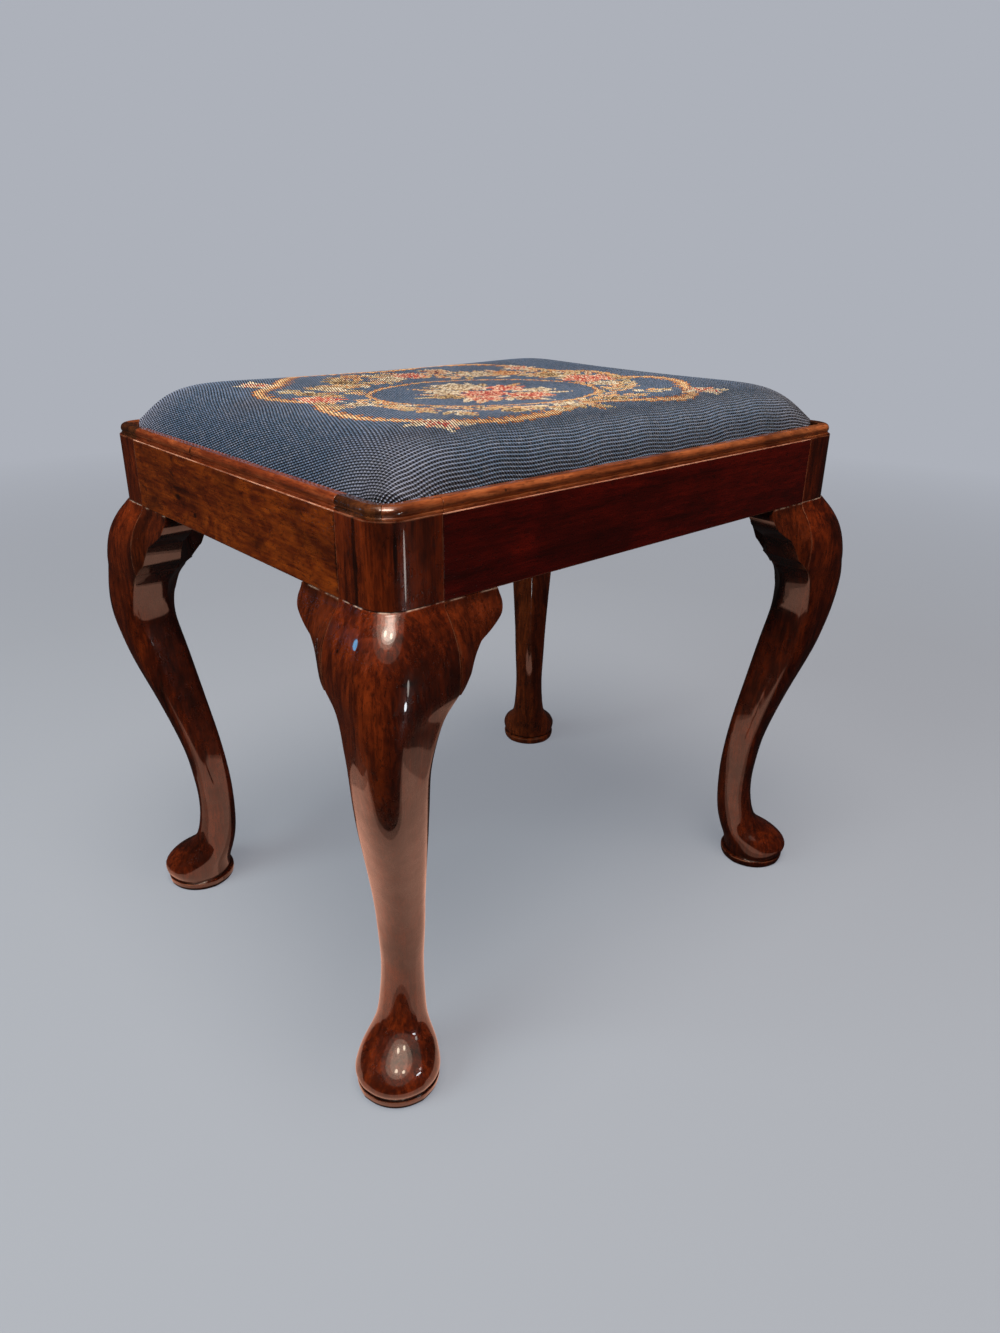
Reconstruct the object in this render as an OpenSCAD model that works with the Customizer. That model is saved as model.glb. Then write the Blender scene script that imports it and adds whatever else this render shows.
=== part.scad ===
// Upholstered stool on four cabriole legs, with a moulded frame and a drop-in needlepoint seat.
// Millimetres. Origin on the floor under the middle of the stool, X along the long rails, Z up.

/* [Frame] */
// Length of the frame over the faces of the short rails
frame_w = 508; // [420:1:640]
// Depth of the frame over the faces of the long rails
frame_d = 406; // [340:1:520]
// Height of the rails' top edge above the floor
frame_h = 457; // [400:1:520]
// Height of a rail
rail_h = 57; // [45:1:75]
// Thickness of a rail
rail_t = 22; // [19:0.5:26]
// Radius of the frame's rounded corners
corner_r = 22; // [16:0.5:28]
// Width of a leg's square top block, in which the rails are jointed
post_w = 48; // [44:0.5:56]
// Length of a rail's tenon
tenon_l = 19; // [12:0.5:22]
// Thickness of a tenon
tenon_t = 8; // [6:0.5:10]
// Shoulder left above and below a tenon
tenon_shoulder = 8; // [5:0.5:12]
// Glue gap round a tenon
tenon_gap = 0.1; // [0.05:0.05:0.3]

/* [Legs] */
// How far the knee stands out beyond the rail faces
knee_out = 23; // [16:0.5:28]
// How far below the rails the knee stands out most
knee_drop = 57; // [50:1:62]
// Ledge between the rail face and the top of the knee
knee_ledge = 1; // [0.5:0.25:3]
// How far the knee stands out beyond the rail faces where an ear bracket joins it
seam_out = 16.5; // [12:0.5:20]
// Width of the leg where it is thinnest, above the foot
ankle_w = 33; // [28:0.5:38]
// Height of the ankle above the floor
ankle_h = 100; // [90:1:115]
// How far the ankle's outer side stands in from the rail faces
ankle_in = 21; // [14:0.5:26]
// Radius of the pad foot
foot_r = 35; // [30:0.5:40]
// How far the foot's centre stands in from the rail faces
foot_in = 19; // [15:0.5:24]
// Height at which the foot's rounded toe is widest
foot_h = 17; // [15:0.5:21]
// Radius of the pad disc under the foot
pad_r = 33; // [27:0.5:36]
// Thickness of the pad disc
pad_h = 8; // [5:0.5:10]

/* [Ear brackets] */
// Reach of an ear bracket along the rail, from the leg's block
ear_w = 47; // [38:0.5:56]
// Drop of an ear bracket below the rail
ear_h = 60; // [54:0.5:68]
// Glue gap between an ear bracket, its leg and its rail
ear_gap = 0.1; // [0.05:0.05:0.3]

/* [Moulding] */
// Width of the moulding planted on the rails
bead_w = 10; // [8:0.5:11]
// Height of the moulding
bead_h = 9; // [7:0.25:12]
// How far the moulding stands back from the rail faces
bead_set = 2; // [1:0.25:3]
// Height of the flat fillet under the bead
fillet_h = 1.6; // [1:0.1:2.5]
// Length of a corner piece of the moulding along each rail
corner_bead_l = 50; // [36:0.5:60]
// Gap at the joints of the moulding
bead_gap = 0.2; // [0.1:0.05:0.4]
// Distance from the front corner to the joint in the left-hand moulding
left_joint = 252; // [150:1:280]

/* [Corner braces] */
// Width of a brace across the inside of a corner
brace_w = 20; // [14:0.5:28]
// Height of a brace
brace_h = 26; // [18:0.5:34]
// Distance of a brace below the top of the rails
brace_drop = 5; // [3:0.5:10]

/* [Seat frame] */
// Width of a bar of the seat frame
bar_w = 44; // [36:1:54]
// Thickness of a bar of the seat frame
bar_t = 15; // [13:0.5:16]
// Radius of the seat frame's corners
seat_r = 25; // [20:0.5:32]
// Width of the bevel along the seat frame's upper edge
bevel_w = 10; // [9:0.5:12]
// Gap between the cover and the moulding round it
seat_gap = 0.5; // [0.3:0.1:1.5]
// Gap between the seat frame's edge and the cover drawn round it
cover_gap = 0.3; // [0.2:0.1:0.6]
// Gap under the seat, between the cover and the rails
rest_gap = 0.3; // [0.2:0.1:0.6]
// Glue gap in the halved joints of the seat frame
lap_gap = 0.1; // [0.05:0.05:0.3]

/* [Webbing] */
// Width of a webbing strip
web_w = 50; // [40:1:56]
// Thickness of a webbing strip
web_t = 1.2; // [0.8:0.1:1.6]
// Number of strips along the seat, or fewer where a small seat has no room for them
web_rows = 3; // [2:1:3]
// Number of strips across the seat, or fewer where a small seat has no room for them
web_cols = 4; // [2:1:4]
// Clear space between the outermost strips and the bars beside them
web_edge = 34; // [26:1:44]
// Hem of a strip, folded back over its end on the seat frame
web_hem = 19; // [16:1:19]
// Slack left between strips where they cross
web_slack = 0.1; // [0.05:0.05:0.3]

/* [Tacks] */
// Radius of a tack's head
tack_r = 3; // [2.2:0.1:3.6]
// Thickness of a tack's head
tack_head = 0.8; // [0.6:0.1:1.2]
// Radius of a tack's shank
shank_r = 0.8; // [0.6:0.1:1.1]
// Length of a tack's shank
shank_l = 10; // [7:0.5:12]
// Spacing of the tacks along the cover's turned edge
cover_tack_pitch = 30; // [20:1:50]
// Spacing of the tacks along the hessian's edge
hessian_tack_pitch = 45; // [30:1:70]

/* [Upholstery] */
// Height of the seat's crown above the rails' top edge, if its middle hadn't sunk
crown_h = 46; // [44:0.5:54]
// How far the middle of the seat has sunk with use
seat_sag = 10; // [4:0.5:14]
// Thickness of the needlepoint cover
cover_t = 1.6; // [1:0.1:2.5]
// Width of the cover turned under the seat frame
turn_w = 26; // [18:1:32]
// Height of the cover's straight sides, before they draw in to the crown
side_h = 6; // [5:0.5:10]
// Thickness of the hessian on the webbing
hessian_t = 0.8; // [0.6:0.1:1.2]
// Gap between the hair stuffing and the cover
stuffing_gap = 0.3; // [0.2:0.1:0.6]
// Width of the crown's shoulders: a smaller number makes them steeper
shoulder_w = 17; // [14:0.5:18]

/* [Hidden] */

// Colours of the finishes
walnut = [0.36, 0.15, 0.07];
walnut_dark = [0.27, 0.10, 0.05];
walnut_bead = [0.45, 0.20, 0.10];
beech = [0.72, 0.55, 0.36];
jute = [0.62, 0.50, 0.34];
linen = [0.70, 0.60, 0.44];
horsehair = [0.20, 0.15, 0.11];
navy_wool = [0.16, 0.21, 0.30];
blued_steel = [0.20, 0.21, 0.24];

// Small overlap that keeps a cut clean
eps = 1;
// Radius that eases an arris
arris_r = 0.6;
// Points on each rounded corner of a leg's section
arc_n = 6;

// Depth of the quirk between the moulding's fillet and its bead
quirk_w = 1;
// How far the flat behind the bead lies below its top
back_step = 0.5;
// Facets round the bead, and along half of a corner's bend
bead_n = 12;
bend_n = 5;

leg_top = frame_h - rail_h;
tenon_h = rail_h - 2 * tenon_shoulder;
bead_in = bead_set + bead_w;

// Stations of the leg: height, inset of the outer corner, inset of the inner side, and inset of
// the outer side at the seam to the ear brackets.
// The lower ones stand on the floor and the upper ones hang from the rails.
toe = foot_in - foot_r;
heel = foot_in + foot_r - 4;
ankle_back = ankle_in + ankle_w;
ear_foot = leg_top - ear_h;
shin_h = mix(ankle_h, ear_foot, 0.42);
shin_out = mix(ankle_in, -knee_out, 0.4);
under_ear = post_w - 16.5;
leg_stations = [
    [pad_h + 1, toe + 3.5, heel - 1, toe + 3.5],
    [foot_h - 3, toe + 0.4, heel, toe + 0.4],
    [foot_h + 1, toe, heel + 0.6, toe],
    [foot_h + 5, toe + 2, heel + 1.1, toe + 2],
    [foot_h + 9, toe + 5, heel + 1.7, toe + 5],
    [foot_h + 13, toe + 9, heel + 2.3, toe + 9],
    [foot_h + 17, toe + 14.5, heel + 2.6, toe + 14.5],
    [foot_h + 21, ankle_in - 17, ankle_back - 1.4, ankle_in - 17],
    [foot_h + 27, ankle_in - 10.5, ankle_back - 1.2, ankle_in - 10.5],
    [foot_h + 33, ankle_in - 6.5, ankle_back - 0.8, ankle_in - 6.5],
    [foot_h + 43, ankle_in - 3.5, ankle_back - 0.1, ankle_in - 3.5],
    [ankle_h - 25, ankle_in - 1, ankle_back + 0.2, ankle_in - 1],
    [ankle_h - 5, ankle_in, ankle_back, ankle_in],
    [ankle_h + 15, ankle_in - 1, ankle_back - 0.7, ankle_in - 1],
    [ankle_h + 50, ankle_in - 5, ankle_back - 4, ankle_in - 5],
    [shin_h, shin_out, mix(ankle_back, under_ear, 0.47), shin_out],
    [ear_foot - 90, 11.7 - knee_out, under_ear + 5.5, 7.5 - seam_out],
    [ear_foot - 50, 4 - knee_out, under_ear, 3.7 - seam_out],
    [ear_foot - 35, 2 - knee_out, under_ear + 1.7, 3.3 - seam_out],
    [ear_foot - 22, 0.7 - knee_out, under_ear + 3.8, 3.1 - seam_out],
    [ear_foot - 13, 0.2 - knee_out, under_ear + 6.4, 2.7 - seam_out],
    [ear_foot - 8, 0.1 - knee_out, under_ear + 9.8, 2.4 - seam_out],
    [ear_foot - 3.5, -knee_out, under_ear + 13, 1.8 - seam_out],
    [ear_foot, -knee_out, post_w, 1.5 - seam_out],
    [leg_top - knee_drop + 4, -knee_out, post_w, 0.5 - seam_out],
    [leg_top - 40, 2 - knee_out, post_w, -seam_out],
    [leg_top - 30, 4.5 - knee_out, post_w, 1.3 - seam_out],
    [leg_top - 20, 9 - knee_out, post_w, 5.1 - seam_out],
    [leg_top - 10, 15 - knee_out, post_w, 11 - seam_out],
    [leg_top - 4, 19.5 - knee_out, post_w, -0.6],
    [leg_top, -knee_ledge, post_w, -0.3]
];
// Largest distance between two rings of the leg's surface
ring_gap = 17;

// Small differences between the legs: shift of the foot and of the leg under its knee, in X and Y
leg_shift = [
    [-1, -1, [-7, 3], [-1.5, 1]],
    [1, -1, [0, 0], [0, 0]],
    [-1, 1, [-5, -10], [-4.5, 4]],
    [1, 1, [4, -4], [3, -3]]
];

// Outline of an ear bracket: share of its drop below the rail, share of its reach.
// A rounded lobe, an arris, a cove, a second arris, and a hollow that runs on down the leg
ear_outline = [
    [0, 0.957], [0.07, 0.985], [0.13, 1], [0.2, 0.98], [0.267, 0.945], [0.333, 0.84],
    [0.4, 0.71], [0.45, 0.6], [0.483, 0.515], [0.5, 0.49], [0.6, 0.4], [0.667, 0.35],
    [0.75, 0.3], [0.83, 0.255], [0.858, 0.2], [0.9, 0.145], [0.95, 0.08], [1, 0.02]
];
// Share of the knee's swell that is left on an ear bracket, and how far from the leg it is reached
ear_swell = 0.6;
ear_fall = 20;
// Points across the face of an ear bracket
ear_n = 6;

// Seat sizes
cover_x = frame_w / 2 - bead_in - seat_gap;
cover_y = frame_d / 2 - bead_in - seat_gap;
bar_x = cover_x - cover_t - cover_gap;
bar_y = cover_y - cover_t - cover_gap;
cover_r = seat_r + cover_t + cover_gap;
cover_z = frame_h + rest_gap;
bar_z = cover_z + cover_t + cover_gap / 2;
bar_top = bar_z + bar_t;
web_z = bar_top;
hessian_z = web_z + 2 * web_t + tack_head + web_slack;
stuffing_z = hessian_z + hessian_t;
crown_top = frame_h + crown_h;
shoulder_z = cover_z + side_h;
// Height of the bevel along the seat frame's upper edge, from just under the cover's shoulder
bevel_h = bar_top - shoulder_z + 0.5;

// How far the hessian's edge stands in from the seat frame's, and the radius of its corners
hessian_in = 15.5;
hessian_r = 16;
// How far inside the seat frame's edge the webbing stops
web_margin = 23;
// How far a strip of webbing lies flat on the seat frame
web_hold = web_hem + 2;
// Half the stretch over which a strip changes level
web_step = 9;
// Points along each side and round each corner of the seat's rings
side_n = 4;
seat_arc_n = 9;
// Insets of the rings on the crown and on its underside, in from the cover's edge
crown_insets = [2, 5, 9, 14, 21, 32, 52, 85, 145];
inner_insets = [3.5, 7, 12, 20, 36, 75, 145];
// Depth of the cover's underside below the crown, measured straight down
cover_sink = 1.15 * cover_t;
// How far the stuffing stands in from the cover's edge where it lies on the hessian: past its tacks
stuffing_in = hessian_in + cover_t + 2 * tack_r + 3;

// Value at x on a smooth curve through the rows of a table, with the heights in column 0
function slope(t, c, i) = let(n = len(t) - 1, a = max(i - 1, 0), b = min(i + 1, n))
    (t[b][c] - t[a][c]) / (t[b][0] - t[a][0]);
function find_row(t, x, i = 0) = i >= len(t) - 2 || x < t[i + 1][0] ? i : find_row(t, x, i + 1);
function hermite(t, c, x) = let(
        i = find_row(t, x), h = t[i + 1][0] - t[i][0], s = (x - t[i][0]) / h,
        a = t[i][c], b = t[i + 1][c], da = slope(t, c, i) * h, db = slope(t, c, i + 1) * h)
    a * (1 + 2 * s) * pow(1 - s, 2) + b * s * s * (3 - 2 * s)
    + da * s * pow(1 - s, 2) + db * s * s * (s - 1);
function ramp(x, a, b) = min(max((x - a) / (b - a), 0), 1);
function mix(a, b, s) = a + (b - a) * s;

// Square section from outer inset o to inner inset i, with a radius for each of its corners.
// The inner corner is a round at flat = 0 and a straight cut at flat = 1
function corner_arc(cx, cy, r, a, n) = [for (k = [0:n - 1]) let(t = a + 90 * k / (n - 1))
    [cx + r * cos(t), cy + r * sin(t)]];
function inner_corner(i, r, flat) = [for (k = [0:arc_n - 1]) let(t = 90 * k / (arc_n - 1))
    [mix(i - r + r * cos(t), i - r * k / (arc_n - 1), flat),
     mix(i - r + r * sin(t), i - r + r * k / (arc_n - 1), flat)]];
function section(o, i, ro, rs, ri, flat = 0) = concat(
    corner_arc(o + ro, o + ro, ro, 180, arc_n),
    corner_arc(i - rs, o + rs, rs, 270, arc_n),
    inner_corner(i, ri, flat),
    corner_arc(o + rs, i - rs, rs, 90, arc_n));
function disc(c, r) = section(c - r, c + r, r - 0.01, r - 0.01, r - 0.01);
function at_height(points, z) = [for (p = points) [p[0], p[1], z]];
// Draws the two outer sides of a section in by b at their far ends, and less towards the corner
function drawn_in(points, o, i, b) = [for (p = points)
    let(x = ramp(p[0], o, i), y = ramp(p[1], o, i))
        [p[0] + b * y * y * (1 - x), p[1] + b * x * x * (1 - y)]];

// Section of the leg at a height above the pad: round at the ankle, square at the knee, with its
// inner corner cut away between the backs of the two ear brackets
function leg_section(z) = let(
        o = hermite(leg_stations, 1, z),
        i = z < ear_foot ? hermite(leg_stations, 2, z) : post_w,
        half = (i - o) / 2 - 0.01,
        up = ramp(z, ankle_h + 20, ear_foot - 10),
        square_up = ramp(z, ear_foot - 85, ear_foot - 3),
        ro = mix(half * mix(1, 0.86, up), corner_r, ramp(z, leg_top - 30, leg_top)),
        rs = max(half * mix(0.95, 0.7, ramp(z, ankle_h, ankle_h + 40)) * (1 - square_up), arris_r),
        cut = ramp(z, ear_foot - 50, ear_foot),
        ri = mix(half * mix(1, 0.4, ramp(z, foot_h + 20, ankle_h + 70)), post_w - rail_t, cut),
        flat = ramp(z, ear_foot - 70, ear_foot - 25))
    drawn_in(section(o, i, ro, rs, ri, flat), o, i, hermite(leg_stations, 3, z) - o);

// Shift of a leg's own centre at a height, from its row of small differences
function leg_move(row, z) = let(k = ear_foot - 50, s = ramp(z, k, ear_foot))
    z < k ? mix(row[2], row[3], z / k) : row[3] * (1 - s * s * (3 - 2 * s));
function moved(points, row, z) = let(m = leg_move(row, z))
    [for (p = points) [p[0] - row[0] * m[0], p[1] - row[1] * m[1], z]];

// Faces of a stack of rings, each counter-clockwise from above, closed at both ends
function stack_faces(rings, n) = concat(
    [for (k = [1:n - 2]) [0, k, k + 1]],
    [for (r = [0:rings - 2], k = [0:n - 1]) each let(
            a = r * n + k, b = r * n + (k + 1) % n, c = b + n, d = a + n)
        [[a, d, c], [a, c, b]]],
    [for (k = [1:n - 2]) let(t = (rings - 1) * n) [t, t + k + 1, t + k]]);
module stack(rings) {
    polyhedron([for (r = rings) each r], stack_faces(len(rings), len(rings[0])));
}

// Places a piece modelled at the front left corner at any corner: sx and sy are -1 or 1
module at_corner(sx, sy) {
    mirror([sx > 0 ? 1 : 0, 0, 0]) mirror([0, sy > 0 ? 1 : 0, 0])
        translate([-frame_w / 2, -frame_d / 2, 0]) children();
}
// Swaps X and Y, so that a piece for a long rail serves a short one
module swap_xy(yes) {
    if (yes) mirror([1, -1, 0]) children();
    else children();
}

module leg_blank(row) {
    pad_rings = [
        [0, pad_r - 2], [1, pad_r - 1], [pad_h * 0.6, pad_r], [pad_h - 0.6, pad_r],
        [pad_h, pad_r - 1.4]
    ];
    last = len(leg_stations) - 1;
    heights = concat(
        [for (k = [0:last - 1]) each let(
                a = leg_stations[k][0], b = leg_stations[k + 1][0], n = ceil((b - a) / ring_gap))
            [for (j = [0:n - 1]) mix(a, b, j / n)]],
        [leg_stations[last][0]]);
    post = section(0, post_w, corner_r, arris_r, arris_r);
    stack(concat(
        [for (p = pad_rings) moved(disc(foot_in, p[1]), row, p[0])],
        [for (z = heights) moved(leg_section(z), row, z)],
        [at_height(post, leg_top + 0.4), at_height(post, frame_h)]));
}
// Mortise for the tenon of a rail that runs along X from the post
module mortise() {
    translate([post_w - tenon_l - tenon_gap, (rail_t - tenon_t) / 2 - tenon_gap,
               leg_top + tenon_shoulder - tenon_gap])
        cube([tenon_l + tenon_gap + eps, tenon_t + 2 * tenon_gap, tenon_h + 2 * tenon_gap]);
}
module leg(row) {
    color(walnut) at_corner(row[0], row[1]) difference() {
        leg_blank(row);
        mortise();
        swap_xy(true) mortise();
    }
}

// Rail of the given frame length, with a tenon at each end, its face on the front
module rail_blank(length) {
    body_l = length - 2 * post_w;
    translate([-body_l / 2, 0, leg_top]) cube([body_l, rail_t, rail_h]);
    translate([-body_l / 2 - tenon_l, (rail_t - tenon_t) / 2, leg_top + tenon_shoulder])
        cube([body_l + 2 * tenon_l, tenon_t, tenon_h]);
}
module long_rail(sy) {
    color(walnut_dark) mirror([0, sy > 0 ? 1 : 0, 0])
        translate([0, -frame_d / 2, 0]) rail_blank(frame_w);
}
module short_rail(sx) {
    color(walnut) mirror([sx > 0 ? 1 : 0, 0, 0])
        translate([-frame_w / 2, 0, 0]) swap_xy(true) rail_blank(frame_d);
}

// Ear bracket along X from the leg: its face goes on from the knee and falls off along the rail
function ear_face(u, z) = let(s = ramp(u, 0, ear_fall))
    hermite(leg_stations, 3, z) * mix(1, ear_swell, s * s * (3 - 2 * s));
function ear_ring(drop, reach) = let(
        z = leg_top - ear_gap - drop, u0 = post_w + ear_gap, u1 = post_w + max(reach, ear_gap + 0.8))
    concat([[u0, rail_t, z]],
           [for (k = [0:ear_n - 1]) let(u = mix(u0, u1, k / (ear_n - 1)))
               [u, ear_face(u - post_w, z), z]],
           [[u1, rail_t, z]]);
module ear(sx, sy, short) {
    count = len(ear_outline);
    rings = [for (k = [count - 1:-1:0])
        ear_ring(ear_outline[k][0] * ear_h, ear_outline[k][1] * ear_w)];
    color(walnut) at_corner(sx, sy) swap_xy(short) stack(rings);
}

// Section of the moulding: fillet, quirk, bead and a flat step behind it, as distances in from
// the rail face and up from the rail
function bead_outline() = let(
        r = (bead_h - fillet_h * 0.6) / 2,
        start = 180 + acos((r - quirk_w) / r), end = asin((r - back_step) / r))
    concat([[bead_in, 0], [bead_set, 0], [bead_set, fillet_h], [bead_set + quirk_w, fillet_h]],
           [for (k = [0:bead_n]) let(t = mix(start, end, k / bead_n))
               [bead_set + r + r * cos(t), bead_h - r + r * sin(t)]],
           [[bead_in, bead_h - back_step]]);
// Moulding along X, from x0 to x1 beyond the front left corner
module bead_run(x0, x1) {
    translate([x0, 0, frame_h]) rotate([90, 0, 90]) linear_extrude(x1 - x0)
        polygon(bead_outline());
}
module straight_bead(sx, sy, length, short, from, to) {
    color(walnut_bead) at_corner(sx, sy) swap_xy(short) bead_run(from, min(to, length));
}
// Section of the moulding turned by t about the corner's centre, from the end of the bend
function bead_bend(t) = [for (p = bead_outline()) let(r = corner_r - p[0])
    [corner_r - r * sin(t), corner_r - r * cos(t), frame_h + p[1]]];
// Half of a corner piece: a straight end and the bend as far as the saw cut of the mitre
module corner_bead(sx, sy, short) {
    end = [for (p = bead_outline()) [corner_bead_l - bead_gap, p[0], frame_h + p[1]]];
    cut = 45 - atan(bead_gap / 2 / corner_r);
    color(short ? walnut : walnut_bead) at_corner(sx, sy) swap_xy(short)
        stack(concat([end], [for (k = [0:bend_n]) bead_bend(cut * k / bend_n)]));
}

// Brace across the inside of a corner, just clear of the post
module brace(sx, sy) {
    near = 2 * post_w + bead_gap;
    far = near + brace_w * sqrt(2);
    color(beech) at_corner(sx, sy)
        translate([0, 0, frame_h - brace_drop - brace_h]) linear_extrude(brace_h)
            polygon([[rail_t, near - rail_t], [near - rail_t, rail_t],
                     [far - rail_t, rail_t], [rail_t, far - rail_t]]);
}

// Plan of the seat frame, with rounded corners, grown by a margin
module rounded_plan(x, y, r) {
    for (a = [-1, 1], b = [-1, 1]) translate([a * (x - r), b * (y - r)]) circle(r = r, $fn = 64);
    square([2 * (x - r), 2 * y], center = true);
    square([2 * x, 2 * (y - r)], center = true);
}
// What the bevel takes off the upper edge of the seat frame, all the way round
module bevel_waste() {
    waste = [[-eps, -bevel_h * (1 + eps / bevel_w)], [bevel_w * (1 + eps / bevel_h), eps],
             [-eps, eps]];
    x = bar_x - seat_r;
    y = bar_y - seat_r;
    translate([0, 0, bar_top]) {
        for (turn = [0, 180]) rotate(turn) {
            translate([-x, -bar_y, 0]) rotate([90, 0, 90]) linear_extrude(2 * x) polygon(waste);
            translate([bar_x, -y, 0]) rotate([90, 0, 180]) linear_extrude(2 * y) polygon(waste);
        }
        for (c = [[x, y, 0], [-x, y, 90], [-x, -y, 180], [x, -y, 270]])
            translate([c[0], c[1], 0]) rotate(c[2]) rotate_extrude(angle = 90, $fn = 64)
                translate([seat_r, 0]) mirror([1, 0]) polygon(waste);
    }
}
module bevelled_frame() {
    difference() {
        translate([0, 0, bar_z]) linear_extrude(bar_t) rounded_plan(bar_x, bar_y, seat_r);
        bevel_waste();
    }
}
// Long bars keep the lower half of each corner joint and short bars the upper half
module seat_bar_long(sy) {
    color(beech) mirror([0, sy > 0 ? 1 : 0, 0]) intersection() {
        bevelled_frame();
        union() {
            translate([-bar_x, -bar_y, bar_z]) cube([2 * bar_x, bar_w, bar_t / 2]);
            translate([-bar_x + bar_w + lap_gap, -bar_y, bar_z])
                cube([2 * (bar_x - bar_w - lap_gap), bar_w, bar_t]);
        }
    }
}
module seat_bar_short(sx) {
    color(beech) mirror([sx > 0 ? 1 : 0, 0, 0]) intersection() {
        bevelled_frame();
        union() {
            translate([-bar_x, -bar_y, bar_z + bar_t / 2 + lap_gap])
                cube([bar_w, 2 * bar_y, bar_t / 2 - lap_gap]);
            translate([-bar_x, -bar_y + bar_w + lap_gap, bar_z])
                cube([bar_w, 2 * (bar_y - bar_w - lap_gap), bar_t]);
        }
    }
}

// Centres of up to most strips that share the room between two bars, counted from the middle
function spread(most, room) = let(
        n = min(most, floor((room - web_w) / (web_w + 2 * web_step + 2)) + 1),
        pitch = (room - web_w) / (n - 1))
    [for (k = [0:n - 1]) (k - (n - 1) / 2) * pitch];
row_y = spread(web_rows, 2 * (bar_y - bar_w - web_edge));
col_x = spread(web_cols, 2 * (bar_x - bar_w - web_edge));
// Level of a strip's underside at crossing k: woven over and under in turn
function weave(k, flip) = ((k + flip) % 2 == 0 ? 1 : -1) * (web_t + web_slack) / 2;
// Side view of a strip that runs from -end to end, crossing the strips at the given places
function strip_path(end, crossings, flip) = concat(
    [[-end, 0], [-end + web_hold, 0]],
    [for (k = [0:len(crossings) - 1]) each
        [[crossings[k] - web_w / 2 - web_step, weave(k, flip)],
         [crossings[k] + web_w / 2 + web_step, weave(k, flip)]]],
    [[end - web_hold, 0], [end, 0]]);
module strip_profile(end, crossings, flip) {
    path = strip_path(end, crossings, flip);
    back = [for (k = [len(path) - 1:-1:0]) path[k] + [0, web_t]];
    polygon(concat(path, back));
    for (s = [-1, 1]) translate([s > 0 ? end - web_hem : -end, web_t - 0.01])
        square([web_hem, web_t + 0.01]);
}
module webbing_lengthwise() {
    color(jute) for (k = [0:len(row_y) - 1])
        translate([0, row_y[k] + web_w / 2, web_z]) rotate([90, 0, 0]) linear_extrude(web_w)
            strip_profile(bar_x - web_margin, col_x, k);
}
module webbing_crosswise() {
    color(jute) for (k = [0:len(col_x) - 1])
        translate([col_x[k] - web_w / 2, 0, web_z]) rotate([90, 0, 90]) linear_extrude(web_w)
            strip_profile(bar_y - web_margin, row_y, k + 1);
}

// Cut tack, with the underside of its head at z = 0 and its point down
module tack() {
    rotate_extrude($fn = 24) polygon([
        [0, -shank_l], [shank_r * 0.3, -shank_l + 0.5], [shank_r, -shank_l * 0.4], [shank_r, 0],
        [tack_r, 0], [tack_r * 0.85, tack_head * 0.7], [0, tack_head]]);
}
// Five tacks in a strip's end, three behind and two in front, along X from the strip's end
module end_tacks() {
    for (v = [-0.34, 0, 0.34]) translate([web_hem * 0.3, v * web_w]) tack();
    for (v = [-0.17, 0.17]) translate([web_hem * 0.72, v * web_w]) tack();
}
module webbing_tacks() {
    color(blued_steel) translate([0, 0, web_z + 2 * web_t]) {
        for (y = row_y, s = [0, 180]) rotate(s) translate([-bar_x + web_margin, s > 0 ? -y : y])
            end_tacks();
        for (x = col_x, s = [90, 270]) rotate(s) translate([-bar_y + web_margin, s > 180 ? x : -x])
            end_tacks();
    }
}

// Hessian laid over the webbing
module hessian() {
    color(linen) translate([0, 0, hessian_z]) linear_extrude(hessian_t)
        rounded_plan(bar_x - hessian_in, bar_y - hessian_in, hessian_r);
}
// Places along a side of half-length half, a pitch apart and clear of the corners
function along(half, pitch, clear) = let(n = floor(2 * (half - clear) / pitch))
    [for (k = [0:n]) (k - n / 2) * pitch];
module edge_row(x, y, pitch, clear) {
    for (u = along(x, pitch, clear), s = [-1, 1]) translate([u, s * y]) children();
    for (v = along(y, pitch, clear), s = [-1, 1]) translate([s * x, v]) children();
}
// The hessian's tacks stand in the margin outside the webbing's ends
module hessian_tacks() {
    color(blued_steel) translate([0, 0, hessian_z + hessian_t])
        edge_row(bar_x - hessian_in - tack_r, bar_y - hessian_in - tack_r,
                 hessian_tack_pitch, seat_r + tack_r) tack();
}
module cover_tacks() {
    inset = turn_w - tack_r - 2;
    color(blued_steel) translate([0, 0, cover_z]) mirror([0, 0, 1])
        edge_row(cover_x - inset, cover_y - inset, cover_tack_pitch, post_w + tack_r) tack();
}

// Ring round the seat, inset by d from the cover's edge, counter-clockwise from above
function side_points(a, b) = [for (k = [1:side_n]) mix(a, b, k / (side_n + 1))];
function seat_arc(cx, cy, r, a) = corner_arc(cx, cy, r, a, seat_arc_n);
function seat_ring(d) = let(
        x = cover_x - d, y = cover_y - d,
        r = cover_r - min(d, cover_t) + 0.15 * max(d - cover_t, 0),
        rr = min(r, x - 0.5, y - 0.5),
        bl = seat_arc(-x + rr, -y + rr, rr, 180), br = seat_arc(x - rr, -y + rr, rr, 270),
        tr = seat_arc(x - rr, y - rr, rr, 0), tl = seat_arc(-x + rr, y - rr, rr, 90),
        last = seat_arc_n - 1)
    concat(bl, side_points(bl[last], br[0]), br, side_points(br[last], tr[0]),
           tr, side_points(tr[last], tl[0]), tl, side_points(tl[last], bl[0]));
// Height of the crown over a point of the seat
function crown_part(p, half) = 1 - pow(min(abs(p) / half, 1), half / shoulder_w);
function crown_z(p) = shoulder_z
    + (crown_top - shoulder_z) * crown_part(p[0], cover_x) * crown_part(p[1], cover_y)
    - seat_sag * (1 - pow(p[0] / cover_x, 2)) * (1 - pow(p[1] / cover_y, 2));
// Ring on the crown at inset d, sunk below the outer surface by t
function crown_ring(d, t) = [for (p = seat_ring(d)) [p[0], p[1], crown_z(p) - t]];
function flat_ring(d, z) = at_height(seat_ring(d), z);

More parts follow.
